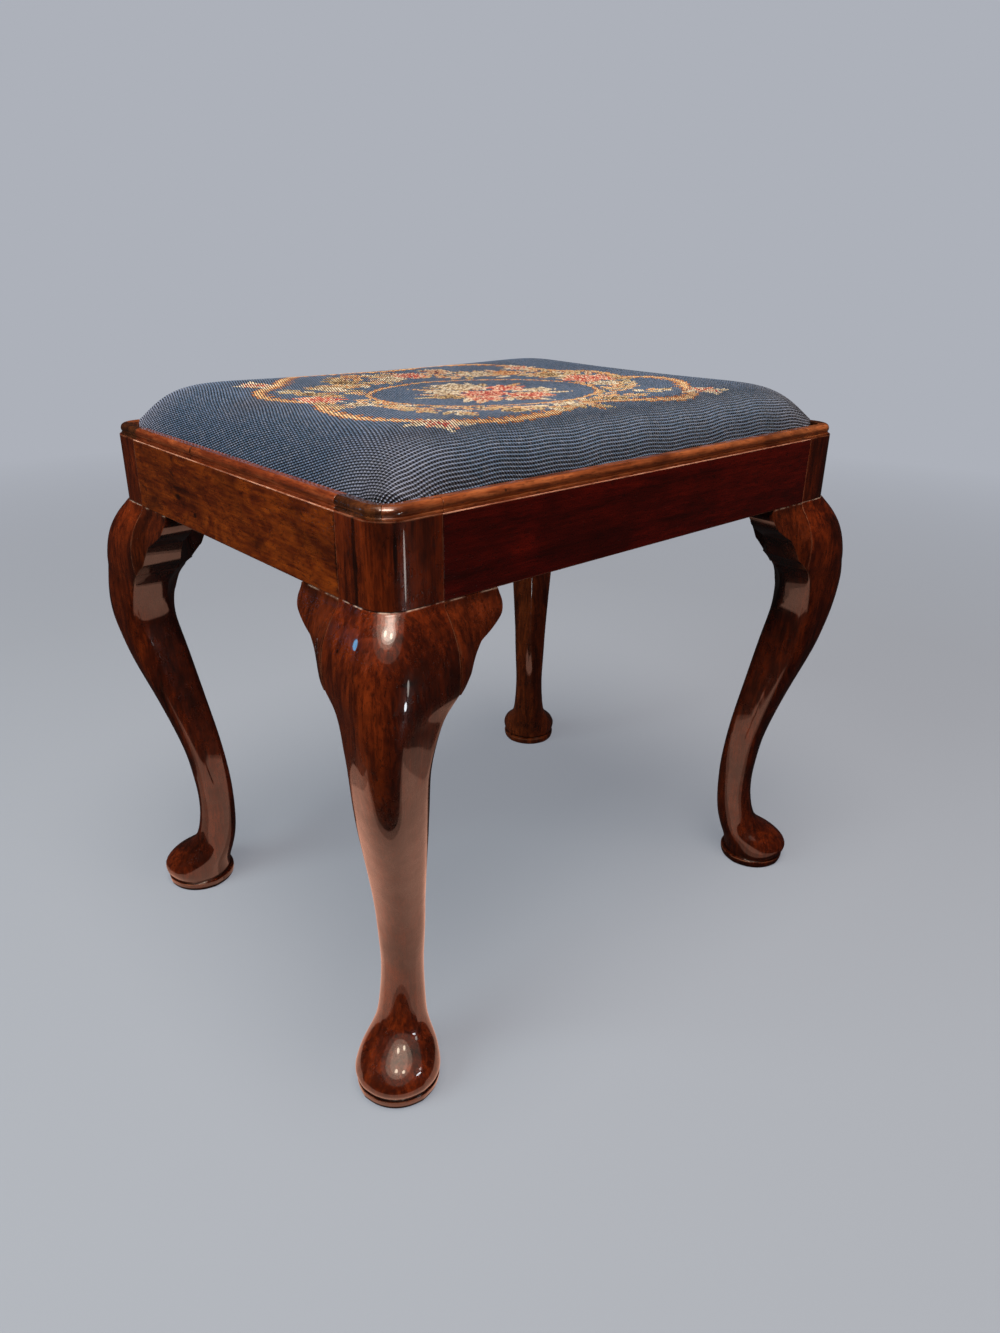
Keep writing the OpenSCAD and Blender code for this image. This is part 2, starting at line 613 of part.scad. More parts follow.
// Faces between rings whose last one closes on a single centre point
function dome_faces(rings, n, first, outward) = let(tip = first + rings * n) concat(
    [for (r = [0:rings - 2], k = [0:n - 1]) each let(
            a = first + r * n + k, b = first + r * n + (k + 1) % n, c = b + n, d = a + n)
        outward ? [[a, d, c], [a, c, b]] : [[a, c, d], [a, b, c]]],
    [for (k = [0:n - 1]) let(a = first + (rings - 1) * n + k, b = first + (rings - 1) * n + (k + 1) % n)
        outward ? [a, tip, b] : [a, b, tip]]);

module needlepoint_cover() {
    outer = concat(
        [flat_ring(turn_w, cover_z), flat_ring(1, cover_z), flat_ring(0, cover_z + 1),
         flat_ring(0, shoulder_z)],
        [for (d = crown_insets) crown_ring(d, 0)]);
    inner = concat(
        [flat_ring(turn_w, cover_z + cover_t), flat_ring(cover_t, cover_z + cover_t),
         flat_ring(cover_t, shoulder_z)],
        [for (d = inner_insets) crown_ring(d, cover_sink)]);
    n = len(outer[0]);
    first_in = len(outer) * n + 1;
    points = concat([for (r = outer) each r], [[0, 0, crown_z([0, 0])]],
                    [for (r = inner) each r], [[0, 0, crown_z([0, 0]) - cover_sink]]);
    rim = [for (k = [0:n - 1]) each let(a = k, b = (k + 1) % n, c = first_in + b, d = first_in + a)
        [[a, c, d], [a, b, c]]];
    color(navy_wool) polyhedron(points, concat(
        dome_faces(len(outer), n, 0, true), dome_faces(len(inner), n, first_in, false), rim));
}
// The stuffing's rings lie straight under the cover's, which keeps the gap even
module hair_stuffing() {
    under = cover_sink + stuffing_gap;
    rings = concat([flat_ring(stuffing_in, stuffing_z)],
                   [for (d = inner_insets) if (d > stuffing_in) crown_ring(d, under)]);
    n = len(rings[0]);
    middle = len(rings) * n + 1;
    points = concat([for (r = rings) each r],
                    [[0, 0, crown_z([0, 0]) - under], [0, 0, stuffing_z]]);
    color(horsehair) polyhedron(points, concat(
        dome_faces(len(rings), n, 0, true), [for (k = [0:n - 1]) [middle, k, (k + 1) % n]]));
}

leg(leg_shift[0]);  // leg_front_left
leg(leg_shift[1]);  // leg_front_right
leg(leg_shift[2]);  // leg_back_left
leg(leg_shift[3]);  // leg_back_right
long_rail(-1);  // rail_front
long_rail(1);  // rail_back
short_rail(-1);  // rail_left
short_rail(1);  // rail_right
ear(-1, -1, false);  // ear_front_left_long
ear(-1, -1, true);  // ear_front_left_short
ear(1, -1, false);  // ear_front_right_long
ear(1, -1, true);  // ear_front_right_short
ear(-1, 1, false);  // ear_back_left_long
ear(-1, 1, true);  // ear_back_left_short
ear(1, 1, false);  // ear_back_right_long
ear(1, 1, true);  // ear_back_right_short
straight_bead(-1, -1, frame_w, false, corner_bead_l, frame_w - corner_bead_l);  // bead_front
straight_bead(-1, 1, frame_w, false, corner_bead_l, frame_w - corner_bead_l);  // bead_back
straight_bead(1, -1, frame_d, true, corner_bead_l, frame_d - corner_bead_l);  // bead_right
straight_bead(-1, -1, frame_d, true, corner_bead_l, left_joint - bead_gap);  // bead_left_near
straight_bead(-1, -1, frame_d, true, left_joint, frame_d - corner_bead_l);  // bead_left_far
corner_bead(-1, -1, false);  // corner_bead_front_left_long
corner_bead(-1, -1, true);  // corner_bead_front_left_short
corner_bead(1, -1, false);  // corner_bead_front_right_long
corner_bead(1, -1, true);  // corner_bead_front_right_short
corner_bead(-1, 1, false);  // corner_bead_back_left_long
corner_bead(-1, 1, true);  // corner_bead_back_left_short
corner_bead(1, 1, false);  // corner_bead_back_right_long
corner_bead(1, 1, true);  // corner_bead_back_right_short
brace(-1, -1);  // brace_front_left
brace(1, -1);  // brace_front_right
brace(-1, 1);  // brace_back_left
brace(1, 1);  // brace_back_right
seat_bar_long(-1);  // seat_bar_front
seat_bar_long(1);  // seat_bar_back
seat_bar_short(-1);  // seat_bar_left
seat_bar_short(1);  // seat_bar_right
webbing_lengthwise();
webbing_crosswise();
webbing_tacks();
hessian();
hessian_tacks();
hair_stuffing();
needlepoint_cover();
cover_tacks();
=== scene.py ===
"""The looks of a walnut stool: cabriole legs, a moulded frame and a drop-in needlepoint seat."""
import math

import bmesh
import bpy
import numpy as np
from mathutils import Matrix, Vector


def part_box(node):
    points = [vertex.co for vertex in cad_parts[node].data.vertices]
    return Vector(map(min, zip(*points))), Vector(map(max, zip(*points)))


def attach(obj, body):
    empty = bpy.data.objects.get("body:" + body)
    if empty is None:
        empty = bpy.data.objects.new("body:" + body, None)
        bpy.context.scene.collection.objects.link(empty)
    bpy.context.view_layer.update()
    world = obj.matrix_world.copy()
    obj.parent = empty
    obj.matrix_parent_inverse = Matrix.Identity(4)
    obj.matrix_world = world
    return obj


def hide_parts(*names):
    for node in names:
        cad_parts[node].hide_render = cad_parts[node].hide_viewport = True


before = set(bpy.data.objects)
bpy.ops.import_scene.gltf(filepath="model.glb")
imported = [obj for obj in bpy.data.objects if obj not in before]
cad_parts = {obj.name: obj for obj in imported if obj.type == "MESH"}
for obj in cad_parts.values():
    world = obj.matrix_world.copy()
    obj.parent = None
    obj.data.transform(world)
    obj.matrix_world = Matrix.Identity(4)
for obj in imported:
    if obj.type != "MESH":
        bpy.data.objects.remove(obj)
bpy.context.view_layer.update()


# The four cabriole legs. Each is sawn and carved from one length of walnut, from the round pad foot
# up to the square block that takes the rails, then stained and polished. The wood is worn and
# paler along its arrises, and dark in its hollows with old wax and with painted shade.
LEGS = ("leg_front_left", "leg_front_right", "leg_back_left", "leg_back_right")
MERGE = 0.00001


def pick(piece):
    """Makes this piece the only selected one."""
    bpy.ops.object.select_all(action="DESELECT")
    piece.select_set(True)
    bpy.context.view_layer.objects.active = piece


def copy_of(node):
    """A piece with the shape of a node, its loose triangles merged and paired up again."""
    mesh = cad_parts[node].data.copy()
    mesh.materials.clear()
    piece = bpy.data.objects.new(node + "_wood", mesh)
    bpy.context.scene.collection.objects.link(piece)
    pick(piece)
    bpy.ops.object.mode_set(mode="EDIT")
    bpy.ops.mesh.select_all(action="SELECT")
    bpy.ops.mesh.remove_doubles(threshold=MERGE)
    bpy.ops.mesh.tris_convert_to_quads(face_threshold=math.radians(25), shape_threshold=math.radians(70))
    bpy.ops.mesh.select_all(action="DESELECT")
    bpy.ops.object.mode_set(mode="OBJECT")
    return piece


def apply(piece, kind, **settings):
    """Adds a modifier to the piece and applies it."""
    pick(piece)
    modifier = piece.modifiers.new(kind.title(), kind)
    for name, value in settings.items():
        setattr(modifier, name, value)
    bpy.ops.object.modifier_apply(modifier=modifier.name)


def crease(piece, sharp):
    """Keeps the edges crisp that sharp(angle, start, end) chooses."""
    shape = bmesh.new()
    shape.from_mesh(piece.data)
    layer = shape.edges.layers.float.new("crease_edge")
    for edge in shape.edges:
        angle = edge.calc_face_angle(math.pi)
        start, end = (vertex.co for vertex in edge.verts)
        edge[layer] = 1.0 if sharp(angle, start, end) else 0.0
    shape.to_mesh(piece.data)
    shape.free()


def smooth(piece, angle):
    """Shades the piece smooth, apart from edges sharper than the angle in degrees."""
    pick(piece)
    bpy.ops.object.shade_smooth_by_angle(angle=math.radians(angle))


def mark_bends(piece):
    """Notes at each vertex how much the surface bends, per mm: above 0 on arrises, below in hollows."""
    mesh = piece.data
    count = len(mesh.vertices)
    places = np.zeros(count * 3)
    normals = np.zeros(count * 3)
    ends = np.zeros(len(mesh.edges) * 2, int)
    mesh.vertices.foreach_get("co", places)
    mesh.vertices.foreach_get("normal", normals)
    mesh.edges.foreach_get("vertices", ends)
    places = places.reshape(-1, 3)
    normals = normals.reshape(-1, 3)
    a, b = ends.reshape(-1, 2).T
    step = places[b] - places[a]
    length = np.maximum((step ** 2).sum(1), 1e-10)
    bend = ((normals[b] - normals[a]) * step).sum(1) / length / 1000
    total = np.zeros(count)
    edges = np.zeros(count)
    for end in (a, b):
        np.add.at(total, end, bend)
        np.add.at(edges, end, 1)
    bends = mesh.attributes.new("bend", "FLOAT", "POINT")
    bends.data.foreach_set("value", (total / np.maximum(edges, 1)).astype(np.float32))


class Wire:
    """A socket in a finish. Sums and products of wires add Math nodes to the finish."""

    def __init__(self, finish, socket):
        self.finish = finish
        self.socket = socket

    def math(self, operation, first, second=0.0):
        """The result of one Math node."""
        return self.finish.node("Math", {"operation": operation}, {0: first, 1: second})

    def __add__(self, other):
        return self.math("ADD", self, other)

    def __sub__(self, other):
        return self.math("SUBTRACT", self, other)

    def __rsub__(self, other):
        return self.math("SUBTRACT", other, self)

    def __mul__(self, other):
        return self.math("MULTIPLY", self, other)

    def __pow__(self, other):
        return self.math("POWER", self, other)

    def __abs__(self):
        return self.math("ABSOLUTE", self)

    __radd__ = __add__
    __rmul__ = __mul__


class Finish:
    """A material, to which node() adds any node."""

    def __init__(self, name, **steady):
        self.material = bpy.data.materials.new(name)
        self.material.use_nodes = True
        self.tree = self.material.node_tree
        self.shader = self.tree.nodes["Principled BSDF"]
        for socket, value in steady.items():
            self.shader.inputs[socket.replace("_", " ")].default_value = value

    def node(self, kind, settings=None, sockets=None, output=0):
        """Adds a node with its settings, the values or wires of its sockets, and one output's wire."""
        made = self.tree.nodes.new("ShaderNode" + kind)
        for name, value in (settings or {}).items():
            if name == "stops":
                for place, colour in value[1:-1]:
                    made.color_ramp.elements.new(place)
                for stop, (place, colour) in zip(made.color_ramp.elements, value):
                    stop.position = place
                    stop.color = colour
            else:
                setattr(made, name, value)
        for name, value in (sockets or {}).items():
            if isinstance(value, Wire):
                self.tree.links.new(value.socket, made.inputs[name])
            else:
                made.inputs[name].default_value = value
        return Wire(self, made.outputs[output])

    def feed(self, **varying):
        """Joins wires to the shader's sockets."""
        for socket, wire in varying.items():
            self.tree.links.new(wire.socket, self.shader.inputs[socket.replace("_", " ")])

    def noise(self, place, scale, detail=2.0, rough=0.5, swirl=0.0, shift=(0.0, 0.0, 0.0)):
        """Noise from 0 to 1, with its own scale per metre along each axis."""
        spot = self.node("Mapping", {}, {"Vector": place, "Scale": scale, "Location": shift})
        return self.node("TexNoise", {}, {
            "Vector": spot, "Scale": 1.0, "Detail": detail, "Roughness": rough, "Distortion": swirl})

    def between(self, value, low, high, to_low=0.0, to_high=1.0):
        """The value, spread from low..high to to_low..to_high and held there."""
        return self.node("MapRange", {}, {
            "Value": value, "From Min": low, "From Max": high, "To Min": to_low, "To Max": to_high})

    def tint(self, under, over, share):
        """One colour over another."""
        return self.node("Mix", {"data_type": "RGBA"}, {0: share, 6: under, 7: over}, 2)

    def part(self, vector, axis):
        """The x, y or z of a vector."""
        return self.node("SeparateXYZ", {}, {0: vector}, "xyz".index(axis))


def dye(red, green, blue):
    """A colour given as seen on a screen, 0 to 255, in the shader's own measure."""
    parts = [value / 255 for value in (red, green, blue)]
    return tuple(v / 12.92 if v <= 0.04045 else ((v + 0.055) / 1.055) ** 2.4 for v in parts) + (1.0,)


def run_along(axis):
    """Gives run(length, across), the scales of a noise that is drawn out along one axis."""
    def run(length, across):
        return tuple(length if each == axis else across for each in "xyz")

    return run


FLECK = dye(24, 8, 5)
BURNT = dye(14, 4, 2)
RUBBED = dye(150, 96, 68)
GRIME_AND_SHADE = dye(18, 8, 5)
OLD_WAX = dye(176, 148, 128)
DARK_BELOW = dye(56, 20, 8)


def polished_wood(name, along, pale, middle, deep, mottle, shift, gloss=0.2,
                  waxed=None, marks=(), darkened_below=None):
    """Old polished walnut whose grain runs along x, y or z.

    Pale wax is caught at the height waxed. Marks are dark spots, each a centre and its reach. The colour
    darkens towards the bottom, fading out between the two heights given for it."""
    finish = Finish(name, Coat_Roughness=0.045, Coat_IOR=1.75, Specular_IOR_Level=0.25)
    place = finish.node("TexCoord", output=3)
    run = run_along(along)
    streaks = finish.noise(place, run(3.5, 42), 4, 0.55, 0.6, shift)
    fibres = finish.noise(place, run(16, 520), 3, 0.6, 0.2, shift)
    pores = finish.noise(place, run(70, 1500), 2, 0.5, 0.0, shift)
    clouds = finish.noise(place, (9, 9, 9), 3, 0.55, 1.2, shift)
    swirl = finish.noise(place, run(26, 55), 5, 0.62, 2.4, shift)
    grain = finish.noise(place, run(34, 240), 4, 0.65, 0.5, shift)
    depth = streaks * (0.42 - 0.2 * mottle) + grain * 0.3 + fibres * 0.16 + clouds * 0.12
    depth = depth + swirl * (0.06 + 0.3 * mottle)
    stops = [(0.0, deep), (0.43, deep), (0.53, middle), (0.66, pale), (1.0, pale)]
    colour = finish.node("ValToRGB", {"stops": stops}, {"Fac": depth})
    pits = finish.noise(place, run(220, 620), 3, 0.6, 0.0, shift)
    colour = finish.tint(colour, deep, finish.between(pits, 0.56, 0.66) * 0.55)
    grain_line = finish.between(pores, 0.56, 0.68)
    colour = finish.tint(colour, deep, grain_line * 0.45)
    flecks = finish.noise(place, run(60, 150), 2, 0.5, 0.8, shift)
    colour = finish.tint(colour, FLECK, finish.between(flecks, 0.64, 0.74) * (0.4 + 0.4 * mottle))
    smoke = finish.noise(place, run(11, 20), 3, 0.6, 0.8, shift)
    colour = finish.tint(colour, deep, finish.between(smoke, 0.5, 0.66) * 0.6)
    wobble = finish.noise(place, run(160, 400), 2, 0.5, 0.0, shift)
    for centre, reach in marks:
        offset = finish.node("VectorMath", {"operation": "SUBTRACT"}, {0: place, 1: centre})
        share = finish.node("VectorMath", {"operation": "DIVIDE"}, {0: offset, 1: reach})
        away = finish.node("VectorMath", {"operation": "LENGTH"}, {0: share}, 1)
        colour = finish.tint(colour, BURNT, finish.between(away + wobble, 1.1, 1.6, 0.85, 0.0))
    bend = finish.node("Attribute", {"attribute_name": "bend"}, output=2)
    patchy = finish.noise(place, (70, 70, 70), 4, 0.6, 0.4, shift)
    worn = finish.between(bend, 0.1, 0.36) * finish.between(patchy, 0.36, 0.6)
    # Hollows are darker: partly old wax, partly painted shade.
    grime_and_shade = finish.between(bend, -0.03, -0.16)
    colour = finish.tint(colour, RUBBED, worn * 0.5)
    colour = finish.tint(colour, GRIME_AND_SHADE, grime_and_shade * 0.85)
    if waxed:
        caught = finish.between(abs(finish.part(place, "z") - waxed), 0.0002, 0.0005, 1.0, 0.0)
        caught = caught * finish.between(patchy, 0.44, 0.56)
        colour = finish.tint(colour, OLD_WAX, caught * 0.6)
    # Darker towards the bottom, between the two heights given.
    if darkened_below:
        low_down = finish.between(finish.part(place, "z"), *darkened_below, 0.8, 0.0)
        colour = finish.tint(colour, DARK_BELOW, low_down)
    rough = gloss + patchy * 0.16 + worn * 0.12 + grime_and_shade * 0.25 + grain_line * 0.08
    dents = finish.noise(place, (34, 34, 34), 3, 0.5, 0.0, shift)
    height = pores * 0.00006 + fibres * 0.0001 + dents * 0.0012
    height = height - finish.between(pits, 0.58, 0.68) * 0.0001
    normal = finish.node("Bump", {}, {"Strength": 0.7, "Distance": 1.0, "Height": height})
    coat = finish.between(patchy, 0.25, 0.75, 1.0, 0.75) - grime_and_shade * 0.4 - worn * 0.3
    finish.feed(Base_Color=colour, Roughness=rough, Normal=normal, Coat_Weight=coat)
    return finish.material


def true_up(piece):
    """Lets the large flat faces keep their own normals, beside the small eased arrises."""
    apply(piece, "WEIGHTED_NORMAL", mode="FACE_AREA", weight=100, keep_sharp=True)


RAIL_FOOT = 0.4
WAX_OFF = 0.0003
LEG_MARKS = (
    ((-0.241, -0.2005, 0.437), (0.0013, 0.004, 0.016)),
    ((-0.254, -0.176, 0.43), (0.006, 0.0022, 0.05)),
    ((-0.269, -0.174, 0.374), (0.0014, 0.0014, 0.0014)),
    ((-0.25, -0.222, 0.362), (0.006, 0.006, 0.0016)),
)
LEG_SHARP = math.radians(38)
LEG_SMOOTH = 32

# Rings cut round the square block keep its shape when the leg is subdivided.
POST_RINGS = (0.402, 0.407, 0.43, 0.45, 0.4553)

leg_walnut = polished_wood(
    "leg_walnut", "z", dye(110, 39, 10), dye(61, 17, 4), dye(22, 5, 2), 0.35, (0.0, 0.0, 0.0),
    waxed=RAIL_FOOT + WAX_OFF, marks=LEG_MARKS)
# The back right leg, in the seat's shadow, gets a paler copy of the leg finish: painted light.
painted_light_walnut = polished_wood(
    "painted_light_walnut", "z", dye(150, 66, 26), dye(98, 38, 14), dye(42, 14, 5), 0.35, (0.4, 0.1, 0.0),
    waxed=RAIL_FOOT + WAX_OFF)


def leg_arris(angle, start, end):
    """The arrises of the square block and of the knee."""
    return angle > LEG_SHARP


for node in LEGS:
    leg = copy_of(node)
    bpy.ops.object.mode_set(mode="EDIT")
    for height in POST_RINGS:
        bpy.ops.mesh.select_all(action="SELECT")
        bpy.ops.mesh.bisect(plane_co=(0, 0, height), plane_no=(0, 0, 1))
    bpy.ops.object.mode_set(mode="OBJECT")
    crease(leg, leg_arris)
    apply(leg, "SUBSURF", levels=2, render_levels=2)
    smooth(leg, LEG_SMOOTH)
    mark_bends(leg)
    leg.data.materials.append(painted_light_walnut if node == "leg_back_right" else leg_walnut)
    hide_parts(node)
    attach(leg, "stool_frame")


# The eight ear brackets. Each is a small block, sawn to a lobe, a cove and a hollow, glued to the
# side of the leg and to the underside of the rail, and shaped flush with the knee. The sawn
# arrises across its edge are left crisp.
EARS = [f"ear_{end}_{side}_{run}" for end in ("front", "back") for side in ("left", "right")
        for run in ("long", "short")]
EAR_DROP = 0.06
EAR_GAP = 0.0001
ARRIS_SHARES = (0.5, 0.858)
ARRIS_NEAR = 0.0004
EAR_SHARP = math.radians(42)
EAR_SMOOTH = 28

ear_walnut = polished_wood(
    "ear_walnut", "z", dye(98, 36, 10), dye(54, 16, 4), dye(22, 5, 2), 0.5, (0.37, 0.11, 0.05),
    waxed=RAIL_FOOT - WAX_OFF)


def ear_arris(angle, start, end):
    """The two sawn arrises, and the corners of the block."""
    level = abs(start.z - end.z) < MERGE
    heights = [RAIL_FOOT - EAR_GAP - share * EAR_DROP for share in ARRIS_SHARES]
    sawn = any(abs(height - start.z) < ARRIS_NEAR for height in heights)
    return angle > EAR_SHARP or (level and sawn)


for node in EARS:
    ear = copy_of(node)
    crease(ear, ear_arris)
    apply(ear, "SUBSURF", levels=2, render_levels=2)
    smooth(ear, EAR_SMOOTH)
    mark_bends(ear)
    ear.data.materials.append(ear_walnut)
    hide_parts(node)
    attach(ear, "stool_frame")


# The four rails, planed walnut tenoned into the legs. The short ones show a mottled, warmer figure
# and the long ones are nearly plain and very dark. Their arrises are rubbed pale by hands, and that
# pale tone is also a painted highlight along them.
RAILS = {
    "rail_front": "x", "rail_back": "x", "rail_left": "y", "rail_right": "y",
}
RAIL_EASE = 0.0007
END_EASE = 0.0002
SQUARE = math.radians(60)
PLANED_SMOOTH = 50
DARKENING_HEIGHTS = (0.41, 0.44)
SHORT_RAIL_MARKS = (
    ((-0.254, 0.077, 0.423), (0.05, 0.005, 0.003)),
    ((-0.254, 0.049, 0.413), (0.05, 0.003, 0.002)),
    ((-0.254, -0.157, 0.432), (0.05, 0.0035, 0.04)),
)


def weigh_long_edges(piece, along):
    """Marks the arrises that run the length of a rail, for its bevel."""
    shape = bmesh.new()
    shape.from_mesh(piece.data)
    layer = shape.edges.layers.float.new("bevel_weight_edge")
    axis = "xyz".index(along)
    for edge in shape.edges:
        start, end = (vertex.co for vertex in edge.verts)
        lengthwise = abs((end - start).normalized()[axis]) > 0.99
        sharp = edge.calc_face_angle(0.0) > SQUARE
        edge[layer] = 1.0 if lengthwise and sharp else 0.0
    shape.to_mesh(piece.data)
    shape.free()


# The arrises' finish: pale for wear and as a painted highlight, darker towards the bottom.
rubbed_and_highlit_arris = polished_wood(
    "rubbed_and_highlit_arris", "x", dye(190, 142, 116), dye(146, 92, 68), dye(84, 38, 24), 0.6, (0.2, 0.4, 0.1),
    gloss=0.3, darkened_below=DARKENING_HEIGHTS)
rail_finish = {
    "x": polished_wood(
        "long_rail_walnut", "x", dye(99, 17, 5), dye(72, 9, 3), dye(42, 5, 2), 0.15, (0.9, 0.3, 0.2),
        gloss=0.17),
    "y": polished_wood(
        "short_rail_walnut", "y", dye(128, 54, 10), dye(82, 27, 5), dye(34, 8, 2), 0.9, (0.15, 0.6, 0.4),
        marks=SHORT_RAIL_MARKS),
}

for node, along in RAILS.items():
    rail = copy_of(node)
    rail.data.materials.append(rail_finish[along])
    rail.data.materials.append(rubbed_and_highlit_arris)
    weigh_long_edges(rail, along)
    apply(rail, "BEVEL", width=RAIL_EASE, segments=2, limit_method="WEIGHT", material=1)
    apply(rail, "BEVEL", width=END_EASE, segments=1, limit_method="ANGLE", angle_limit=SQUARE)
    smooth(rail, PLANED_SMOOTH)
    true_up(rail)
    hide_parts(node)
    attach(rail, "stool_frame")


# The bead moulding planted on the rails: five straight lengths, two of them meeting on the left,
# and eight short corner pieces, cut across the grain and mitred. It is redder than the rails.
STRAIGHT_BEADS = {
    "bead_front": "x", "bead_back": "x", "bead_right": "y", "bead_left_near": "y", "bead_left_far": "y",
}
CORNER_BEADS = [f"corner_bead_{end}_{side}_{run}" for end in ("front", "back")
                for side in ("left", "right") for run in ("long", "short")]
BEAD_EASE = 0.00025
BEAD_SHARP = math.radians(50)
BEAD_SMOOTH = 40
left_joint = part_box("bead_left_near")[1].y
WORM_HOLE = ((-0.153, -0.2, 0.463), (0.0013, 0.0013, 0.0013))
OPEN_JOINT = ((-0.254, left_joint, 0.46), (0.02, 0.0012, 0.02))

bead_finish = {
    "x": polished_wood(
        "long_bead_walnut", "x", dye(170, 98, 56), dye(126, 62, 30), dye(54, 20, 8), 0.4, (0.5, 0.2, 0.9),
        gloss=0.22, marks=(WORM_HOLE,)),
    "y": polished_wood(
        "short_bead_walnut", "y", dye(146, 72, 36), dye(100, 40, 17), dye(48, 16, 7), 0.4, (0.1, 0.8, 0.3),
        gloss=0.24, marks=(OPEN_JOINT,)),
}
corner_bead_walnut = polished_wood(
    "corner_bead_walnut", "z", dye(96, 50, 22), dye(60, 28, 12), dye(30, 13, 6), 0.5, (0.6, 0.1, 0.7))

for node in list(STRAIGHT_BEADS) + CORNER_BEADS:
    bead = copy_of(node)
    apply(bead, "BEVEL", width=BEAD_EASE, segments=1, limit_method="ANGLE", angle_limit=BEAD_SHARP)
    smooth(bead, BEAD_SMOOTH)
    true_up(bead)
    along = STRAIGHT_BEADS.get(node)
    if not along and node.endswith("long"):
        along = "x"
    bead.data.materials.append(bead_finish[along] if along else corner_bead_walnut)
    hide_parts(node)
    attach(bead, "stool_frame")


# The hidden carcase wood: corner braces glued inside the frame, and the four halved bars of the
# seat's own frame. Plain beech, planed and never polished, brown and dusty with age.
BRACES = ("brace_front_left", "brace_front_right", "brace_back_left", "brace_back_right")
BARS = {
    "seat_bar_front": "x", "seat_bar_back": "x", "seat_bar_left": "y", "seat_bar_right": "y",
}
BARE_EASE = 0.0008


def bare_beech(name, along, shift):
    """Unpolished beech with its short flecks, going brown."""
    finish = Finish(name)
    place = finish.node("TexCoord", output=3)
    run = run_along(along)
    streaks = finish.noise(place, run(5, 60), 4, 0.5, 0.3, shift)
    fibres = finish.noise(place, run(30, 700), 2, 0.5, 0.0, shift)
    flecks = finish.noise(place, run(130, 900), 1, 0.5, 0.0, shift)
    stain = finish.noise(place, (7, 7, 7), 4, 0.6, 0.5, shift)
    stops = [
        (0.0, dye(104, 70, 42)), (0.4, dye(128, 90, 56)),
        (0.65, dye(164, 124, 82)), (1.0, dye(176, 138, 96))]
    colour = finish.node("ValToRGB", {"stops": stops}, {"Fac": streaks * 0.6 + fibres * 0.4})
    colour = finish.tint(colour, dye(84, 52, 30), finish.between(flecks, 0.62, 0.7) * 0.6)
    colour = finish.tint(colour, dye(70, 50, 36), finish.between(stain, 0.5, 0.75) * 0.6)
    height = fibres * 0.00012 + flecks * 0.00006
    normal = finish.node("Bump", {}, {"Strength": 0.8, "Distance": 1.0, "Height": height})
    finish.feed(Base_Color=colour, Roughness=0.62 + streaks * 0.25, Normal=normal)
    return finish.material


beech_finish = {
    "x": bare_beech("beech_along", "x", (0.0, 0.3, 0.1)),
    "y": bare_beech("beech_across", "y", (0.4, 0.0, 0.2)),
}
for node in BRACES + tuple(BARS):
    timber = copy_of(node)
    apply(timber, "BEVEL", width=BARE_EASE, segments=2, limit_method="ANGLE", angle_limit=SQUARE)
    smooth(timber, PLANED_SMOOTH)
    true_up(timber)
    timber.data.materials.append(beech_finish[BARS.get(node, "x")])
    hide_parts(node)
    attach(timber, "drop_in_seat" if node in BARS else "stool_frame")


# The needlepoint cover: one piece of canvas worked in rows of wool tent stitch. It is drawn tight over
# the stuffed seat, eased round the corners, turned in underneath and tacked there. Each stitch has
# two faces of this mesh, which meet at the ridge of its row.
STITCH = 0.0024
ROW = 0.00281
RELIEF = 0.00041
COVER_T = 0.0016
CORNER_R = 0.0269
SIDE_H = 0.006
CROWN_TOP = 0.503
SAG = 0.01
SHOULDER_W = 0.017
TURN_W = 0.026
FOLD_EASE = 0.001
CANVAS_SPARE = 0.084
CROWN_STEPS = 41
SIDE_SHARES = (0.35, 0.7, 0.97, 1.0)
TURN_STEPS = 4

cover_low, cover_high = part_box("needlepoint_cover")
seat_x, seat_y, seat_foot = cover_high.x, cover_high.y, cover_low.z


def crown(x, y):
    """Height of the stuffed seat's top over a point."""
    def rise(place, half):
        return 1 - np.minimum(np.abs(place) / half, 1) ** (half / SHOULDER_W)

    sunk = SAG * (1 - (x / seat_x) ** 2) * (1 - (y / seat_y) ** 2)
    return seat_foot + SIDE_H + (CROWN_TOP - seat_foot - SIDE_H) * rise(x, seat_x) * rise(y, seat_y) - sunk


